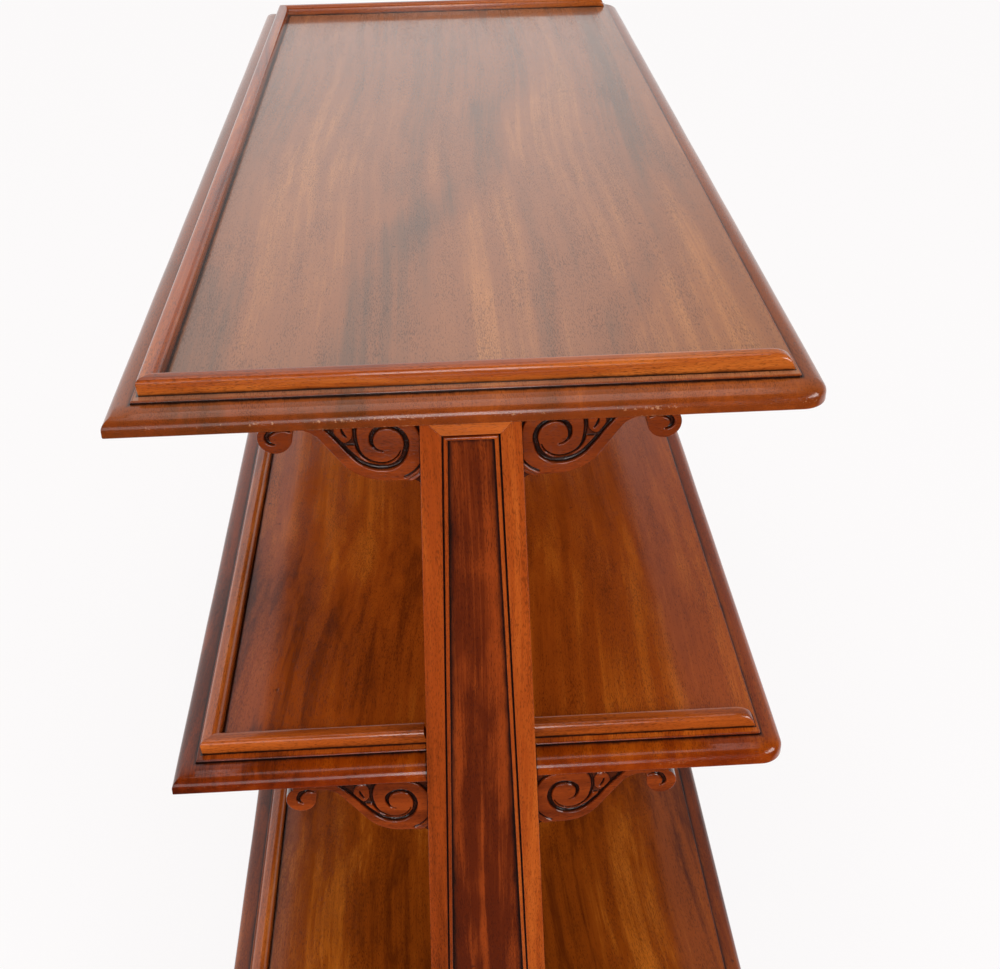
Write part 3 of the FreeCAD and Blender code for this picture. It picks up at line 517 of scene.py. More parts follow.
def board_stations(length, depth, notch):
    """Stations round a board, seen from above: a place on the lip's line and the way inwards, or
    no way inwards for the two bare corners of a notch."""
    def side(start, end, inwards):
        count = max(2, round(math.dist(start, end) / STATION_GAP))
        return [((start[0] + (end[0] - start[0]) * i / count, start[1] + (end[1] - start[1]) * i / count),
                 inwards) for i in range(count + 1)]

    def corner(x, y, first):
        turns = [math.radians(first - 90 * i / CORNER_STEPS) for i in range(1, CORNER_STEPS)]
        ways = [(math.cos(turn), math.sin(turn)) for turn in turns]
        return [((x + FRONT_CORNER_RADIUS * c, y + FRONT_CORNER_RADIUS * s), (-c, -s)) for c, s in ways]

    def end(sign, start, finish):
        x = sign * length / 2
        inwards = (-sign, 0)
        if notch is None:
            return side((x, start), (x, finish), inwards)
        reach, half = notch
        half = math.copysign(half, start - finish)
        bare = [((sign * reach, half), None), ((sign * reach, -half), None)]
        close = [((x, half + math.copysign(d, half)), inwards) for d in NOTCH_STATIONS]
        away = [((x, -y), way) for (x, y), way in close[::-1]]
        return (side((x, start), close[0][0], inwards) + close[1:] + bare + away[:-1]
                + side(away[-1][0], (x, finish), inwards))

    right, back, front = length / 2, depth / 2, -depth / 2 + FRONT_CORNER_RADIUS
    square, clear = right - FRONT_CORNER_RADIUS, OVOLO_WIDTH + MITRE_ROOM
    return ([((-right, back), (1, -1))] + side((-right + clear, back), (right - clear, back), (0, -1))
            + [((right, back), (-1, -1))] + end(1, back - clear, front) + corner(square, front, 0)
            + side((square, -depth / 2), (-square, -depth / 2), (0, 1)) + corner(-square, front, -90)
            + end(-1, front, back - clear))


def tier_board(node, material, moulding, wear, notch=None):
    """A board with its moulded edge, a little wavy as hand planing leaves it.  The field, the
    moulding and the unpolished underside each have a material of their own."""
    low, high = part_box(node)
    profile = edge_profile(high.z - low.z)
    stations = board_stations(high.x - low.x, high.y - low.y, notch)
    last = len(profile) - 1
    verts, recess, arris, edge = [], [], [], []
    for (x, y), inwards in stations:
        gap = FAR_FROM_NOTCH if notch is None or abs(x) < notch[0] else abs(y) - notch[1]
        stained = NOTCH_DIRT * math.exp(-max(gap, 0) / NOTCH_DIRT_REACH)
        wave = 0.5 + 0.25 * (math.sin(31 * x + 17 * y) + math.sin(73 * y - 41 * x + 1))
        for i, (inset, height, sunk) in enumerate(profile):
            if inwards is None:
                verts.append((x, y, low.z + (high.z - low.z) * i / last))
                recess.append(NOTCH_DIRT if 0 < i < last else 0.0)
                arris.append(0.0)
                edge.append(0.0)
                continue
            set_back = inset + WAVE_DEPTH * wave * (inset < OVOLO_WIDTH)
            verts.append((x + inwards[0] * set_back, y + inwards[1] * set_back, low.z + height))
            recess.append(max(sunk, stained) if 0 < i < last else 0.0)
            arris.append(LIP_WEAR.get(i, 0.0) * wear)
            # The whole moulding, ledge included, is marked for its painted shade.
            edge.append(1.0 if i < last else 0.0)
    count, rows = len(stations), len(profile)
    faces = [(s * rows + i, s * rows + i + 1, (s + 1) % count * rows + i + 1, (s + 1) % count * rows + i)
             for s in range(count) for i in range(last)]
    faces.append([s * rows + last for s in range(count)])
    faces.append([s * rows for s in reversed(range(count))])
    marks = {"recess": recess, "arris": arris, "edge": edge}
    board = made_mesh(node + "_moulded", verts, faces, marks, material, node).data
    board.materials.append(moulding)
    board.materials.append(underside_wood)
    for face in board.polygons[:count * last]:
        face.material_index = 1
    board.polygons[len(faces) - 1].material_index = 2


def top_bands(tree, here):
    """Dark bands of figure that wander along the top board: how much darker they make it."""
    place = split(tree, here)
    share = scaled(tree, place["X"], 1 / BOARD_LENGTH, 0.5)
    ragged = stretched_noise(tree, here, X, FRAY_LENGTH, FRAY_WIDTH, 3.0, 0.3)
    total = None
    for width, strength, course in TOP_BANDS:
        path = add(tree, "ShaderNodeFloatCurve", {"Value": share})
        line = path.mapping.curves[0]
        points = [(share_along, aside * COURSE_SCALE) for share_along, aside in course]
        line.points[0].location, line.points[1].location = points[0], points[-1]
        for point in points[1:-1]:
            line.points.new(*point)
        path.mapping.update()
        middle = scaled(tree, path.outputs[0], BOARD_DEPTH / COURSE_SCALE, -BOARD_DEPTH / 2)
        gap = calculated(tree, "ABSOLUTE", less(tree, place["Y"], middle))
        gap = scaled(tree, ragged, BAND_FRAYING * 2 * width, gap)
        inside = opposite(tree, stepped(tree, gap, width * 0.6, width * 2.6))
        band = times(tree, inside, strength)
        total = band if total is None else larger(tree, total, band)
    return total


def middle_front_light(tree, here):
    """Painted light: the middle board is painted paler towards its open front, where more light falls on
    it; how much darker it is at each place.
    """
    return scaled(tree, split(tree, here)["Y"], 0.75, -0.10)


def strip_dirt(tier):
    """Marks the dark line along the feet of a tier's gallery strips, reaching out over the ledge: polish
    and dirt, and painted shade where strip meets board.
    """
    board_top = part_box(tier + "_tier_board")[1].z
    back_low, back_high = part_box(tier + "_gallery_back")
    width = back_high.y - back_low.y
    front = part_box(tier + "_gallery_left" + ("" if tier == "top" else "_front"))[0].y

    def dirt(tree, here):
        place = split(tree, here)
        reach = calculated(tree, "ABSOLUTE", place["X"])
        gaps = []
        for inset in (width, GALLERY_LEAN):
            from_end = less(tree, reach, back_high.x - inset)
            from_back = less(tree, place["Y"], back_high.y - inset)
            gaps.append(larger(tree, from_end, from_back))
        inner = stepped(tree, gaps[0], *STRIP_DIRT_AND_SHADE_INNER)
        outer = opposite(tree, stepped(tree, gaps[1], *STRIP_DIRT_AND_SHADE_OUTER))
        line = times(tree, inner, outer)
        above = stepped(tree, place["Z"], board_top - 1.0 * MM, board_top - 0.5 * MM)
        behind = stepped(tree, place["Y"], front - 2 * MM, front)
        return times(tree, line, times(tree, above, behind))
    return dirt


underside_wood = polished_mahogany("stained_mahogany_undersides", UNDERSIDE_COLOURS, along=X, polish=0.0)
for tier, shades in TIER_COLOURS.items():
    if tier == "top":
        manner = {"tone_shift": top_bands, "lively": 0.62, "sway": 0.08, "moulding_shade_colour": TOP_MOULDING_SHADE_AND_SHEEN_COLOUR}
    else:
        manner = {"tone_shift": middle_front_light if tier == "middle" else None, "sway": 0.22}
    manner.update(along=X, dirt=strip_dirt(tier), start=(0.3 * len(tier), 0.7, 0))
    name = "polished_mahogany_" + tier
    field = polished_mahogany(name, shades, gloss=FIELD_IOR[tier], **manner)
    moulding = polished_mahogany(name + "_edge", shades, gloss=MOULDING_IOR, **manner)
    if tier == "top":
        tier_board("top_tier_board", field, moulding, 1.0)
    else:
        core_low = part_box("right_standard_core")[0]
        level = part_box(tier + "_tier_board")[0].z
        half = STANDARD_TOP_HALF + STANDARD_TAPER * (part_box("top_tier_board")[0].z - level) + NOTCH_ROOM
        tier_board(tier + "_tier_board", field, moulding, LOWER_WEAR, (core_low.x - NOTCH_ROOM, half))


# Galleries.  Low rounded strips of straight-grained mahogany, glued to the tiers on three sides.
# They are mitred at the back corners and swept down to nothing at the open front.
GALLERY_OUTER_ROUND = 4.0 * MM
GALLERY_INNER_ROUND = 6.0 * MM
GALLERY_SWEEP = 17.0 * MM
GALLERY_TIP = 2.5 * MM
GALLERY_STEP = 2.2 * MM
FOOT_DIRT_AND_SHADE_EDGE = (0.8 * MM, 3.6 * MM)
BACK_IOR = 1.62
# The lower tiers' strips are painted lighter than the top's: painted light, against the shade that the tier
# above casts on them.
GALLERY_COLOURS = {
    "top": ("#C46A28", "#9A4514", "#6A290C"),
    "lower_painted_light": ("#DA7A32", "#B0541C", "#7C3410"),
}


def strip_tree():
    """Geometry nodes that draw one strip along X, with its section turned, mitred and swept."""
    tree = bpy.data.node_groups.new("gallery_strip", "GeometryNodeTree")
    sockets = tree.interface
    for name in ("Length", "Width", "Height", "Lean", "Outer Round", "Inner Round", "Sweep", "Tip",
                 "Mitre Start", "Mitre End"):
        sockets.new_socket(name, in_out="INPUT", socket_type="NodeSocketFloat")
    sockets.new_socket("Wood", in_out="INPUT", socket_type="NodeSocketMaterial")
    sockets.new_socket("Geometry", in_out="OUTPUT", socket_type="NodeSocketGeometry")
    size = tree.nodes.new("NodeGroupInput").outputs

    def corner(across, up):
        return add(tree, "ShaderNodeCombineXYZ", {0: across, 1: up}).outputs[0]

    def stored(curve, name, value):
        return add(tree, "GeometryNodeStoreNamedAttribute", {
            "Geometry": curve, "Name": name, "Value": value}, data_type="FLOAT", domain="POINT").outputs[0]

    ends = add(tree, "ShaderNodeCombineXYZ", {0: size["Length"]}).outputs[0]
    line = add(tree, "GeometryNodeCurvePrimitiveLine", {"Start": (0, 0, 0), "End": ends})
    line = add(tree, "GeometryNodeResampleCurve", {0: line.outputs[0], "Length": GALLERY_STEP},
               mode="LENGTH")
    corners = add(tree, "GeometryNodeCurvePrimitiveQuadrilateral", {
        "Point 1": corner(size["Lean"], 0.0), "Point 2": corner(0.0, size["Height"]),
        "Point 3": corner(size["Width"], size["Height"]), "Point 4": corner(size["Width"], 0.0)},
        mode="POINTS")
    index = add(tree, "GeometryNodeInputIndex").outputs[0]
    outer, inner = [add(tree, "FunctionNodeCompare", {2: index, 3: number}, data_type="INT",
                        operation="EQUAL").outputs[0] for number in (1, 2)]
    radius = scaled(tree, outer, size["Outer Round"], times(tree, inner, size["Inner Round"]))
    section = add(tree, "GeometryNodeFilletCurve", {
        "Curve": corners.outputs[0], "Radius": radius, "Count": 5}, mode="POLY")
    section = add(tree, "GeometryNodeSubdivideCurve", {"Curve": section.outputs[0], "Cuts": 3})
    place = split(tree, add(tree, "GeometryNodeInputPosition").outputs[0])
    # The strip's lowest few millimetres are marked dark: dirt at its foot and painted shade where it meets
    # the board.
    foot = opposite(tree, stepped(tree, place["Y"], *FOOT_DIRT_AND_SHADE_EDGE))
    kept = section.outputs[0]
    for name, value in (("across", place["X"]), ("up", place["Y"]), ("recess", foot)):
        kept = stored(kept, name, value)
    run = stored(line.outputs[0], "run", place["X"])
    tube = add(tree, "GeometryNodeCurveToMesh", {"Curve": run, "Profile Curve": kept, "Fill Caps": True})

    along, across, up = [add(tree, "GeometryNodeInputNamedAttribute", {"Name": name},
                             data_type="FLOAT").outputs[0] for name in ("run", "across", "up")]
    start = times(tree, across, size["Mitre Start"])
    finish = times(tree, across, size["Mitre End"])
    share = calculated(tree, "DIVIDE", along, size["Length"])
    room = less(tree, less(tree, size["Length"], start), finish)
    station = scaled(tree, share, room, start)
    swept = calculated(tree, "DIVIDE", station, larger(tree, size["Sweep"], 1e-6))
    left = opposite(tree, calculated(tree, "MINIMUM", 1.0, swept))
    rise = calculated(tree, "SQRT", opposite(tree, times(tree, left, left)))
    crown = scaled(tree, rise, less(tree, size["Height"], size["Tip"]), size["Tip"])
    height = times(tree, up, calculated(tree, "DIVIDE", crown, size["Height"]))
    moved = add(tree, "ShaderNodeCombineXYZ", {0: station, 1: across, 2: height}).outputs[0]
    shaped = add(tree, "GeometryNodeSetPosition", {"Geometry": tube.outputs[0], "Position": moved})
    real = add(tree, "GeometryNodeRealizeInstances", {0: shaped.outputs[0]})
    done = add(tree, "GeometryNodeSetMaterial", {"Geometry": real.outputs[0], "Material": size["Wood"]})
    tree.links.new(done.outputs[0], tree.nodes.new("NodeGroupOutput").inputs[0])
    return tree


gallery_tree = strip_tree()
strip_wood = {}
for level, shades in GALLERY_COLOURS.items():
    name = "polished_mahogany_" + level + "_gallery_"
    strip_wood[level, X] = polished_mahogany(name + "back", shades, along=X, figure=30 * MM, gloss=BACK_IOR)
    strip_wood[level, Y] = polished_mahogany(name + "ends", shades, along=Y, figure=30 * MM)


def gallery_strip(node, axis, sweep, start, finish, place):
    """One strip in the place of its node: place is the matrix from the tree's axes to the tier's,
    and start and finish are 1 where that end is mitred."""
    low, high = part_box(node)
    runs_back = axis == X
    wood = strip_wood["top" if node.startswith("top") else "lower_painted_light", axis]
    values = {"Length": high.x - low.x if runs_back else high.y - low.y,
              "Width": high.y - low.y if runs_back else high.x - low.x, "Height": high.z - low.z,
              "Lean": GALLERY_LEAN, "Outer Round": GALLERY_OUTER_ROUND, "Inner Round": GALLERY_INNER_ROUND,
              "Sweep": GALLERY_SWEEP if sweep else 0.0, "Tip": GALLERY_TIP, "Mitre Start": start,
              "Mitre End": finish, "Wood": wood}
    piece = placed(node + "_strip", bpy.data.meshes.new(node + "_strip"))
    maker = piece.modifiers.new("strip", "NODES")
    maker.node_group = gallery_tree
    for socket in gallery_tree.interface.items_tree:
        if socket.in_out == "INPUT":
            maker[socket.identifier] = values[socket.name]
    settle(piece)
    piece.data.transform(place)
    if place.determinant() < 0:
        piece.data.flip_normals()
    piece.data.shade_smooth()
    piece.data.set_sharp_from_angle(angle=math.radians(40))
    standing_for(piece, node, None)


def laid(along, across, origin):
    """Matrix that lays the tree's X and Y along these two directions from an origin."""
    turned = Matrix((along, across, (0, 0, 1))).transposed().to_4x4()
    return Matrix.Translation(origin) @ turned


for tier in ("top", "middle", "bottom"):
    low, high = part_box(tier + "_gallery_back")
    gallery_strip(tier + "_gallery_back", X, False, 1.0, 1.0,
                  laid((1, 0, 0), (0, -1, 0), (low.x, high.y, low.z)))
    for end, sign in (("left", -1), ("right", 1)):
        strips = [("", True, 1.0)] if tier == "top" else [("_front", True, 0.0), ("_rear", False, 1.0)]
        for part, sweep, mitre in strips:
            node = tier + "_gallery_" + end + part
            low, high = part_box(node)
            outer = low.x if sign < 0 else high.x
            gallery_strip(node, Y, sweep, 0.0, mitre, laid((0, 1, 0), (-sign, 0, 0), (outer, low.y, low.z)))


# Brackets.  Eight scrolls sawn from mahogany 20 mm thick, two dowelled under each end of a tier.
# A gouge has cut the scroll lines deep into the face and sunk the ground of the corners. These are painted
# dark, the more so the deeper
# # and more hollow they lie: old polish and dirt, and painted shade.
CARVED_COLOURS = ("#984012", "#6E2A0A", "#461605")
CARVED_IOR = 1.46

# The two patterns, in millimetres out from the standard and down from the tier.  An outline is a
# row of straight lines (one point) and arcs (two); the carved lines are runs of arcs.
BRACKETS = {
    "top": {
        "outline": [((114, 0),), ((114, 4.6),), ((120.6, 15.9), (107.6, 28.9)),
                    ((98.4, 25.1), (94.6, 15.9)), ((93.6, 9.5),), ((84, 11.2), (76, 17.2)), ((57.5, 42.5),),
                    ((42, 53.2), (23.2, 56.4)), ((13.5, 57),), ((6.5, 58.4), (1.66, 61.4))],
        "scroll": [(78.5, -1), (69.7, 9.6), (61.4, 19.8), (54.3, 29.4), (47.8, 37.2), (38, 43.2),
                   (27.9, 44.9), (17.6, 41.4), (11.8, 31), (12.8, 17), (23.4, 9.7), (33.2, 12.5),
                   (36.8, 20.5), (34.4, 27.6), (28.4, 30.6)],
        "rim": [(44.5, -1), (48.8, 13), (47.6, 25), (43.2, 34.6), (33, 40.4), (22.6, 39.4), (15.2, 30.5)],
        "curl": [(96.5, 10.5), (104.3, 8.6), (112.6, 13), (113.2, 17.5), (107.9, 21)],
        "bud": (56.8, 12.5),
        "eye": ((24.5, 22.5), 24),
    },
    "middle": {
        "outline": [((116, 0),), ((116, 3.5),), ((122.5, 14.7), (109.6, 27.6)),
                    ((100.5, 23.8), (96.7, 14.7)), ((95.5, 5),), ((84, 5.8), (75, 12.5)), ((53.5, 41.5),),
                    ((39, 52.8), (22, 56.3)), ((14, 56.5),), ((6.5, 58.2), (1.66, 61.4))],
        "scroll": [(77.6, -1), (68, 9.4), (58.6, 20.5), (51.6, 30), (43.6, 38), (37, 42), (29, 43.8),
                   (19.6, 41.4), (13, 34), (11.8, 22), (15.8, 13.6), (21.4, 10.6), (27.6, 10.9), (35, 16.4),
                   (35.4, 23.6), (32.8, 28.1), (28.4, 30)],
        "rim": [(44.5, -1), (49.4, 12), (47.6, 24), (42.4, 33.4), (32.6, 39.2), (22.8, 38.4), (15.4, 30)],
        "curl": [(97.5, 6.8), (104.4, 5.2), (111, 11), (111.8, 15.6), (108.2, 18.6)],
        "bud": (57.2, 11.5),
        "eye": ((23, 23.5), 24),
    },
}
STEM = [(-1, 39.5), (3.5, 47), (13, 53.6)]
LEAF = [(0.2, 49.5), (6, 54.4), (13.6, 56.8)]

# Half the width of each carved line along its course, as (share of the way, millimetres).  The
# gouged ones also have a depth and the share of the half width where their flank starts.
WIDTHS = {
    "scroll": ((0, 1.8), (0.18, 1.9), (0.30, 2.2), (0.42, 2.9), (0.52, 2.7), (0.62, 2.3), (0.75, 2.2),
               (0.88, 2.2), (1, 0.5)),
    "rim": ((0, 2.3), (0.3, 2.2), (0.45, 1.4), (0.8, 1.0), (1, 0.4)),
    "curl": ((0, 0.9), (0.45, 2.9), (0.8, 2.2), (1, 0.6)),
    "slit": ((0, 0.7), (0.5, 1.5), (1, 0.8)),
    "stem": ((0, 1.3), (1, 1.3)),
    "leaf": ((0, 1.2), (0.4, 2.6), (0.8, 3.0), (1, 2.0)),
}
GOUGED = {"scroll": (3.7, 0.62), "rim": (3.0, 0.40), "curl": (2.8, 0.35), "stem": (2.2, 0.35),
          "slit": (2.4, 0.30)}
GROUND_DEPTH, CORNER_DEPTH, TIP_DEPTH = 2.0, 3.0, 3.2
BUD_HALVES, BUD_CROWN = (7.4, 10.5), 1.9
LEAF_CROWN, LEAF_TILT, LEAF_HEIGHTS = 2.3, 0.40, (0.8, 3.2)

# The mesh of the drawing, in millimetres.
DRAWING_SIZE = (123, 66)
CARVING_STEP = 0.5
RIM_RINGS, RIM_CLEAR = (0.15, 0.4, 0.85), 1.1
EDGE_ROUND = 0.8
HOLLOW_REACH = 0.9


def arc_through(first, middle, last, gap):
    """Points along the arc through three points, without the first."""
    (ax, ay), (bx, by), (cx, cy) = first, middle, last
    twice = 2 * (ax * (by - cy) + bx * (cy - ay) + cx * (ay - by))
    squares = [p[0] ** 2 + p[1] ** 2 for p in (first, middle, last)]
    x = (squares[0] * (by - cy) + squares[1] * (cy - ay) + squares[2] * (ay - by)) / twice
    y = (squares[0] * (cx - bx) + squares[1] * (ax - cx) + squares[2] * (bx - ax)) / twice
    radius = math.dist((x, y), first)
    start, half, stop = [math.atan2(p[1] - y, p[0] - x) for p in (first, middle, last)]
    turn = (stop - start) % math.tau
    if (half - start) % math.tau > turn:
        turn -= math.tau
    count = max(2, round(abs(turn) * radius / gap))
    angles = [start + turn * i / count for i in range(1, count + 1)]
    return [(x + radius * math.cos(angle), y + radius * math.sin(angle)) for angle in angles]


def line_to(first, last, gap):
    """Points along a straight line, without the first."""
    count = max(1, round(math.dist(first, last) / gap))
    return [(first[0] + (last[0] - first[0]) * i / count, first[1] + (last[1] - first[1]) * i / count)
            for i in range(1, count + 1)]


def carved_run(points, gap=0.3):
    """Places along a run of arcs, each through three points of the list."""
    run = [points[0]]
    for i in range(0, len(points) - 2, 2):
        run += arc_through(points[i], points[i + 1], points[i + 2], gap)
    return np.array(run)


def across(places, points, width):
    """How far places lie from a run, as a share of its half width there; 1 is its edge."""
    run = carved_run(points)
    gaps = np.linalg.norm(places[:, None, :] - run[None, :, :], axis=2)
    nearest = gaps.argmin(axis=1)
    shares, halves = zip(*WIDTHS[width])
    return gaps.min(axis=1) / np.interp(nearest / (len(run) - 1), shares, halves)


def smooth(value, low, high):
    """Value brought smoothly from 0 at low to 1 at high, for numbers."""
    t = np.clip((value - low) / (high - low), 0, 1)
    return t * t * (3 - 2 * t)


def bracket_outline(steps, gap=0.5):
    """Corners of the outline on the drawing, each with a mark: 1 where it meets another piece."""
    here, outline = (0.0, 0.0), []
    for step in steps:
        new = line_to(here, step[0], gap) if len(step) == 1 else arc_through(here, step[0], step[1], gap)
        outline += [(p, 1.0 if p[1] < 1e-6 else 0.0) for p in new]
        here = step[-1]
    edge = line_to(here, (0.0, 0.0), gap)
    return outline + [(p, 1.0) for p in edge]


def carving_depth(places, bracket):
    """How deep the carving is at each place of the drawing, in millimetres."""
    u, w = places[:, 0], places[:, 1]

    def gouged(line, points):
        deep, flank = GOUGED[line]
        return deep * (1 - smooth(across(places, points, line), flank, 1.0))

    depth = gouged("stem", STEM)
    for line in ("scroll", "rim", "curl"):
        depth = np.maximum(depth, gouged(line, bracket[line]))

    outer, inner = carved_run(bracket["scroll"][:7]), carved_run(bracket["rim"][:3])
    right = np.interp(w, inner[:, 1], inner[:, 0])
    left = np.interp(w, outer[:, 1], outer[:, 0])
    ground = smooth(u - right, -0.4, 0.8) * smooth(left - u, -0.4, 0.8) * (w < inner[-1, 1])
    ground *= GROUND_DEPTH
    bud_u, bud_w = bracket["bud"]
    bud = ((u - bud_u) / BUD_HALVES[0]) ** 2 + ((w - bud_w) / BUD_HALVES[1]) ** 2
    crown = BUD_CROWN * np.sqrt(np.clip(1 - bud ** 2, 0, 1))
    slit = [(bud_u + 1.5, bud_w - 3.2), (bud_u + 0.6, bud_w + 1), (bud_u - 1.8, bud_w + 5)]
    crown -= gouged("slit", slit) * (bud < 1)
    depth = np.where(depth > ground, depth, ground - crown * (ground > 0.5))

    (eye_u, eye_w), eye_radius = bracket["eye"]
    beyond = np.hypot(u - eye_u, w - eye_w) - eye_radius
    corner = CORNER_DEPTH * smooth(beyond, -0.3, 0.6) * (u < eye_u - 4) * (w < eye_w - 4)
    tip = TIP_DEPTH * smooth(w - (49 + 0.62 * u), -0.3, 0.8) * (u < 14)
    leaf = across(places, LEAF, "leaf")
    height = np.clip(LEAF_CROWN + LEAF_TILT * (w - (50.3 + 0.52 * u)), *LEAF_HEIGHTS)
    tip -= height * np.sqrt(np.clip(1 - leaf ** 6, 0, 1)) * (tip > 0.4)
    return np.maximum.reduce([depth, corner, tip, np.zeros(len(places))])


def bracket_mesh(bracket):
    """The carved face of a bracket: its points on the drawing, how deep each lies and how dark it is
    painted there (dirt, old polish and painted shade), the faces, and the points of the rim in their order."""
    marked = bracket_outline(bracket["outline"])
    rim = np.array([p for p, mark in marked])
    joined = np.array([mark for p, mark in marked])
    before, after = np.roll(rim, 1, axis=0), np.roll(rim, -1, axis=0)
    along = after - before
    along /= np.linalg.norm(along, axis=1)[:, None]
    area = np.sum(before[:, 0] * rim[:, 1] - rim[:, 0] * before[:, 1])
    inward = np.stack([-along[:, 1], along[:, 0]], axis=1) * (1 if area > 0 else -1)

    grid_u, grid_w = np.meshgrid(*(np.arange(0.5, size, CARVING_STEP) for size in DRAWING_SIZE))
    grid = np.stack([grid_u.ravel(), grid_w.ravel()], axis=1)
    inside = np.zeros(len(grid), bool)
    for p, q in zip(rim, after):
        crosses = (p[1] > grid[:, 1]) != (q[1] > grid[:, 1])
        if p[1] != q[1]:
            inside ^= crosses & (grid[:, 0] < p[0] + (q[0] - p[0]) * (grid[:, 1] - p[1]) / (q[1] - p[1]))
    grid = grid[inside]
    clear = np.linalg.norm(grid[:, None, :] - rim[None, :, :], axis=2).min(axis=1)
    grid = grid[clear > RIM_CLEAR]
    rings = [rim + inward * step for step in RIM_RINGS]
    places = np.concatenate([rim] + rings + [grid])
    count = len(rim)
    corners, _, faces, sources, _, _ = delaunay_2d_cdt(
        [Vector(p) for p in places], [], [list(range(count))], 1, 1e-4)
    flat = np.array([(c.x, c.y) for c in corners])
    gaps = np.linalg.norm(flat[:, None, :] - rim[None, :, :], axis=2)
    nearest, reach = gaps.argmin(axis=1), gaps.min(axis=1)
    carved = carving_depth(flat, bracket)
    lost = np.clip(EDGE_ROUND - reach, 0, EDGE_ROUND)
    edge = EDGE_ROUND - np.sqrt(EDGE_ROUND ** 2 - lost ** 2)
    depth = np.where(joined[nearest] > 0, carved, np.maximum(carved, edge * 0.9))
    around = [carving_depth(flat + HOLLOW_REACH * np.array(way), bracket)
              for way in ((1, 0), (-1, 0), (0, 1), (0, -1))]
    hollow = carved - sum(around) / 4
    # Painted shade with old polish and dirt: darker the deeper and more hollow the carving lies.
    recess = np.maximum(0.6 * smooth(carved, 0.5, 1.5), np.clip(0.2 * carved + 1.2 * hollow, 0, 1))
    recess = np.maximum(recess, joined[nearest] * (1 - smooth(reach, 0.2, 1.0)) * 0.9)
    order = {}
    for i, source in enumerate(sources):
        for s in source:
            if s < count:
                order[s] = i
    ring = [order[i] for i in range(count)]
    return flat, depth, recess, [list(f) for f in faces], ring


def carved_bracket(node, drawing, material):
    """A bracket from its drawing, turned to its end and side of the frame."""
    flat, depth, recess, faces, ring = drawing
    low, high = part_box(node)
    x_sign = 1 if high.x > 0 else -1
    y_sign = 1 if high.y > 0 else -1
    face, back = max(abs(low.x), abs(high.x)), min(abs(low.x), abs(high.x))
    side = min(abs(low.y), abs(high.y))

    def place(p, x):
        return (x_sign * x, y_sign * (side + p[0] * MM), high.z - p[1] * MM)

    verts = [place(p, face - d * MM) for p, d in zip(flat, depth)]
    verts += [place(flat[i], back) for i in ring]
    first, count = len(flat), len(ring)
    faces = faces + [(ring[i], ring[(i + 1) % count], first + (i + 1) % count, first + i)
                     for i in range(count)]
    faces.append([first + i for i in range(count)])
    marks = {"recess": list(recess) + [recess[i] for i in ring]}
    made_mesh(node + "_carved", verts, faces, marks, material, node, crease=75)


carved_wood = polished_mahogany("polished_mahogany_brackets", CARVED_COLOURS, along=Y, figure=40 * MM,
                                lively=0.8, gloss=CARVED_IOR)
for tier, bracket in BRACKETS.items():
    drawing = bracket_mesh(bracket)
    for end in ("left", "right"):
        for side in ("front", "rear"):
            carved_bracket(f"{tier}_bracket_{end}_{side}", drawing, carved_wood)


# Dowels and glue blocks.  Beech dowels hold the brackets, and pine blocks are rubbed into the
# corners behind the standards with hot glue.  Both are bare wood and out of sight.
BEECH_COLOURS = ("#D9B58A", "#BE9161", "#94683E")
PINE_COLOURS = ("#B4824C", "#90602E", "#684020")
GROWTH_LENGTH = 200 * MM
BARE_FIBRE = (12 * MM, 0.7 * MM)
PLANED_DEPTH = 0.15 * MM


def bare_wood(name, colours, along, line):
    """Planed wood with no finish: dry, matt, with growth lines so far apart."""
    light, middle, dark = [colour(code) for code in colours]
    material, tree = new_finish(name)
    here = add(tree, "ShaderNodeTexCoord").outputs["Object"]
    lines = stretched_noise(tree, here, along, GROWTH_LENGTH, line, 3.0, 0.6)
    fibre = stretched_noise(tree, here, along, *BARE_FIBRE, 2.0)
    wood = tinted(tree, stepped(tree, lines, 0.35, 0.6), dark, middle)
    wood = tinted(tree, stepped(tree, fibre, 0.35, 0.75), wood, light)
    bump = add(tree, "ShaderNodeBump", {"Strength": 0.4, "Distance": PLANED_DEPTH, "Height": fibre})
    surface = add(tree, "ShaderNodeBsdfPrincipled", {
        "Base Color": wood, "Roughness": 0.72, "Normal": bump.outputs[0]})
    add(tree, "ShaderNodeOutputMaterial", {"Surface": surface.outputs[0]})
    return material


finished("bracket_dowels", bare_wood("bare_beech", BEECH_COLOURS, Z, 2.5 * MM))
finished("glue_blocks", bare_wood("bare_pine", PINE_COLOURS, Y, 4 * MM))


# Studio.  A white floor and white surroundings, with lamps overhead and on the side of the camera.
# The polish also mirrors two white windows that light nothing else, the dark end where the
# photographer stands, and a dark flag high up on the open front's side.
FLOOR_REACH = 9.0
FLOOR_WHITE = "#F4F3F3"
SEEN_WHITE = "#FFFDFD"
SEEN_SHARE = 0.90
DARK_SIDE = 0.05
DARK_FLOOR_EDGE = (-0.85, -0.45)
DARK_WORLD_EDGE = (0.0, 0.6)
AROUND_DIFFUSE = 0.72
FLAG_EDGE = (0.02, 0.11)
FLAG_SHADE = 0.6
CAMERA_PLACE = (-1.48634, 0.01679, 1.38405)
CAMERA_YAW, CAMERA_PITCH, CAMERA_ROLL = (math.radians(turn) for turn in (-2.606, 28.786, -1.122))
CAMERA_LENS = 49.267
CAMERA_SHIFT = (-0.00141, -0.0845)

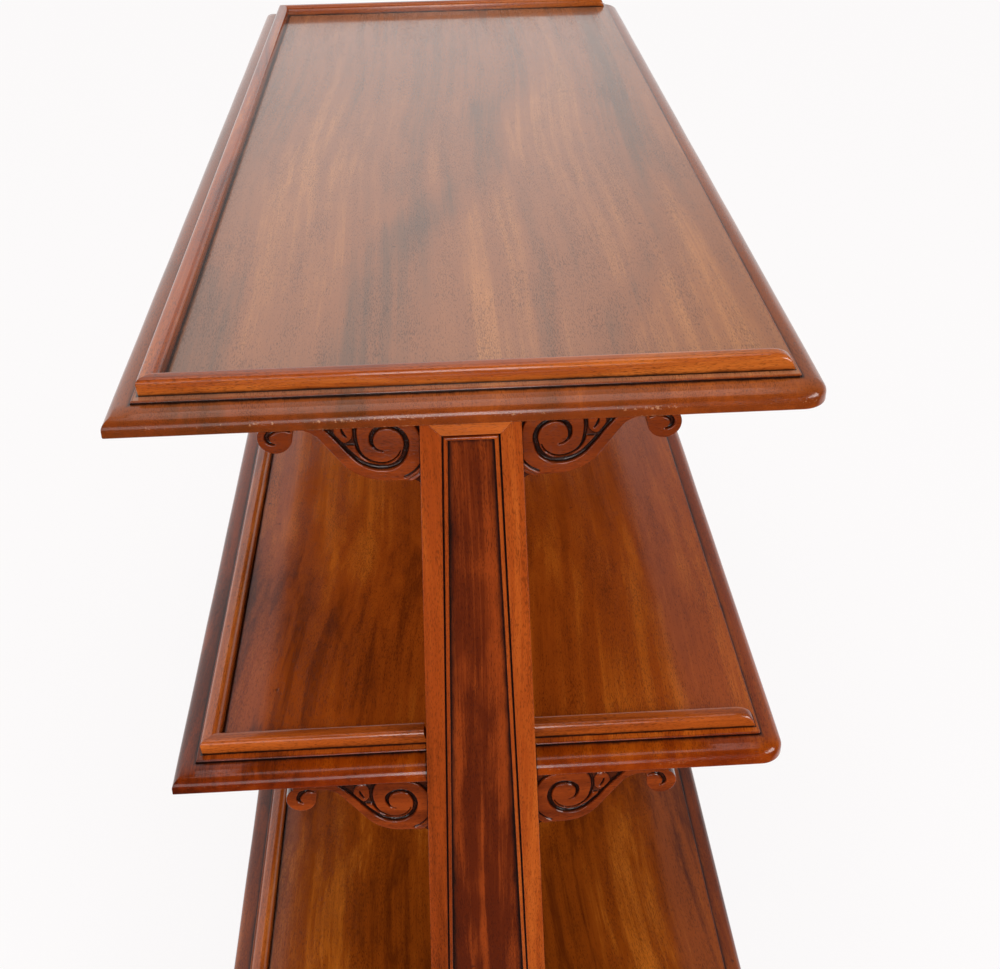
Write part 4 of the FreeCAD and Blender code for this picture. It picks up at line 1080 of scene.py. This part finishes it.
# Name, place, aim, size, power, and whether it lights the dumbwaiter or is only mirrored in it.
LAMPS = (
    ("overhead", (-0.5, 0.0, 3.4), (-0.3, 0.0, 0.5), (1.7, 1.7), 17.0, True),
    ("front_left", (-3.0, -2.2, 2.3), (-0.4, 0.0, 0.6), (0.8, 0.8), 22.0, True),
    ("front_right", (-2.8, 2.4, 1.9), (-0.4, 0.0, 0.5), (0.8, 0.8), 15.0, True),
    ("near_end", (-3.0, 0.2, 1.0), (-0.6, 0.0, 0.7), (1.4, 1.4), 17.0, True),
    ("near_window", (-3.2, 0.0, 1.2), (-0.6, 0.0, 0.9), (0.5, 1.6), 17.0, False),
    ("front_window", (-1.8, -2.7, 2.1), (-0.6, -0.2, 0.9), (1.5, 1.2), 62.0, False),
)


def seen_rays(tree):
    """1 for rays that show what they hit: from the camera, a mirror or glass."""
    rays = add(tree, "ShaderNodeLightPath").outputs
    mirrored = larger(tree, rays["Is Glossy Ray"], rays["Is Transmission Ray"])
    return larger(tree, rays["Is Camera Ray"], mirrored)


def lit_side(tree, place, low, high):
    """Share of the surroundings' light that a mirror sees there: the end where the photographer
    stands, towards -X, is the dark side of the studio."""
    bright = scaled(tree, stepped(tree, split(tree, place)["X"], low, high), 1.0 - DARK_SIDE, DARK_SIDE)
    unseen = opposite(tree, add(tree, "ShaderNodeLightPath").outputs["Is Glossy Ray"])
    return larger(tree, bright, unseen)


floor_paint, tree = new_finish("white_studio_floor")
spot = add(tree, "ShaderNodeNewGeometry").outputs["Position"]
bright = lit_side(tree, spot, *DARK_FLOOR_EDGE)
paint = tinted(tree, bright, (0.0, 0.0, 0.0, 1.0), colour(FLOOR_WHITE))
matt = add(tree, "ShaderNodeBsdfDiffuse", {"Color": paint}).outputs[0]
glow = add(tree, "ShaderNodeEmission", {"Color": colour(SEEN_WHITE), "Strength": bright}).outputs[0]
share = times(tree, seen_rays(tree), SEEN_SHARE)
floor_mix = add(tree, "ShaderNodeMixShader", {0: share, 1: matt, 2: glow})
add(tree, "ShaderNodeOutputMaterial", {"Surface": floor_mix.outputs[0]})

floor_mesh = bpy.data.meshes.new("studio_floor")
corners = [(FLOOR_REACH * x, FLOOR_REACH * y, 0) for x, y in ((-1, -1), (1, -1), (1, 1), (-1, 1))]
floor_mesh.from_pydata(corners, [], [(0, 1, 2, 3)])
floor_mesh.materials.append(floor_paint)
floor = placed("studio_floor", floor_mesh)

world = bpy.data.worlds.new("white_surroundings")
world.use_nodes = True
bpy.context.scene.world = world
tree = world.node_tree
tree.nodes.clear()
toward = add(tree, "ShaderNodeTexCoord").outputs["Generated"]
strength = scaled(tree, seen_rays(tree), 1.0 - AROUND_DIFFUSE, AROUND_DIFFUSE)
strength = times(tree, strength, lit_side(tree, toward, *DARK_WORLD_EDGE))
way = split(tree, toward)
high_in_front = times(tree, way["Y"], times(tree, way["Z"], -1.0))
shaded = stepped(tree, high_in_front, *FLAG_EDGE)
mirrored = add(tree, "ShaderNodeLightPath").outputs["Is Glossy Ray"]
kept = scaled(tree, times(tree, shaded, mirrored), -FLAG_SHADE, 1.0)
strength = times(tree, strength, kept)
sky = add(tree, "ShaderNodeBackground", {"Color": colour(SEEN_WHITE), "Strength": strength})
add(tree, "ShaderNodeOutputWorld", {"Surface": sky.outputs[0]})

for name, place, aim, size, power, lights_up in LAMPS:
    light = bpy.data.lights.new(name, "AREA")
    light.shape = "RECTANGLE"
    light.size, light.size_y = size
    light.energy = power
    lamp = placed(name, light)
    lamp.location = place
    lamp.visible_diffuse = lights_up
    lamp.rotation_euler = (Vector(aim) - Vector(place)).to_track_quat("-Z", "Y").to_euler()

level = Vector((math.sin(CAMERA_YAW), -math.cos(CAMERA_YAW), 0))
ahead = Vector((-level.y, level.x, 0)) * math.cos(CAMERA_PITCH) - Vector((0, 0, math.sin(CAMERA_PITCH)))
upright = level.cross(ahead)
right = level * math.cos(CAMERA_ROLL) + upright * math.sin(CAMERA_ROLL)
above = upright * math.cos(CAMERA_ROLL) - level * math.sin(CAMERA_ROLL)
view = bpy.data.cameras.new("camera")
view.sensor_width = 36.0
view.lens = CAMERA_LENS
view.shift_x, view.shift_y = CAMERA_SHIFT
view.clip_start, view.clip_end = 0.01, 60.0
camera = placed("camera", view)
turned = Matrix((right, above, -ahead)).transposed().to_4x4()
camera.matrix_world = Matrix.Translation(CAMERA_PLACE) @ turned
bpy.context.scene.camera = camera
bpy.context.scene.view_settings.view_transform = "Standard"
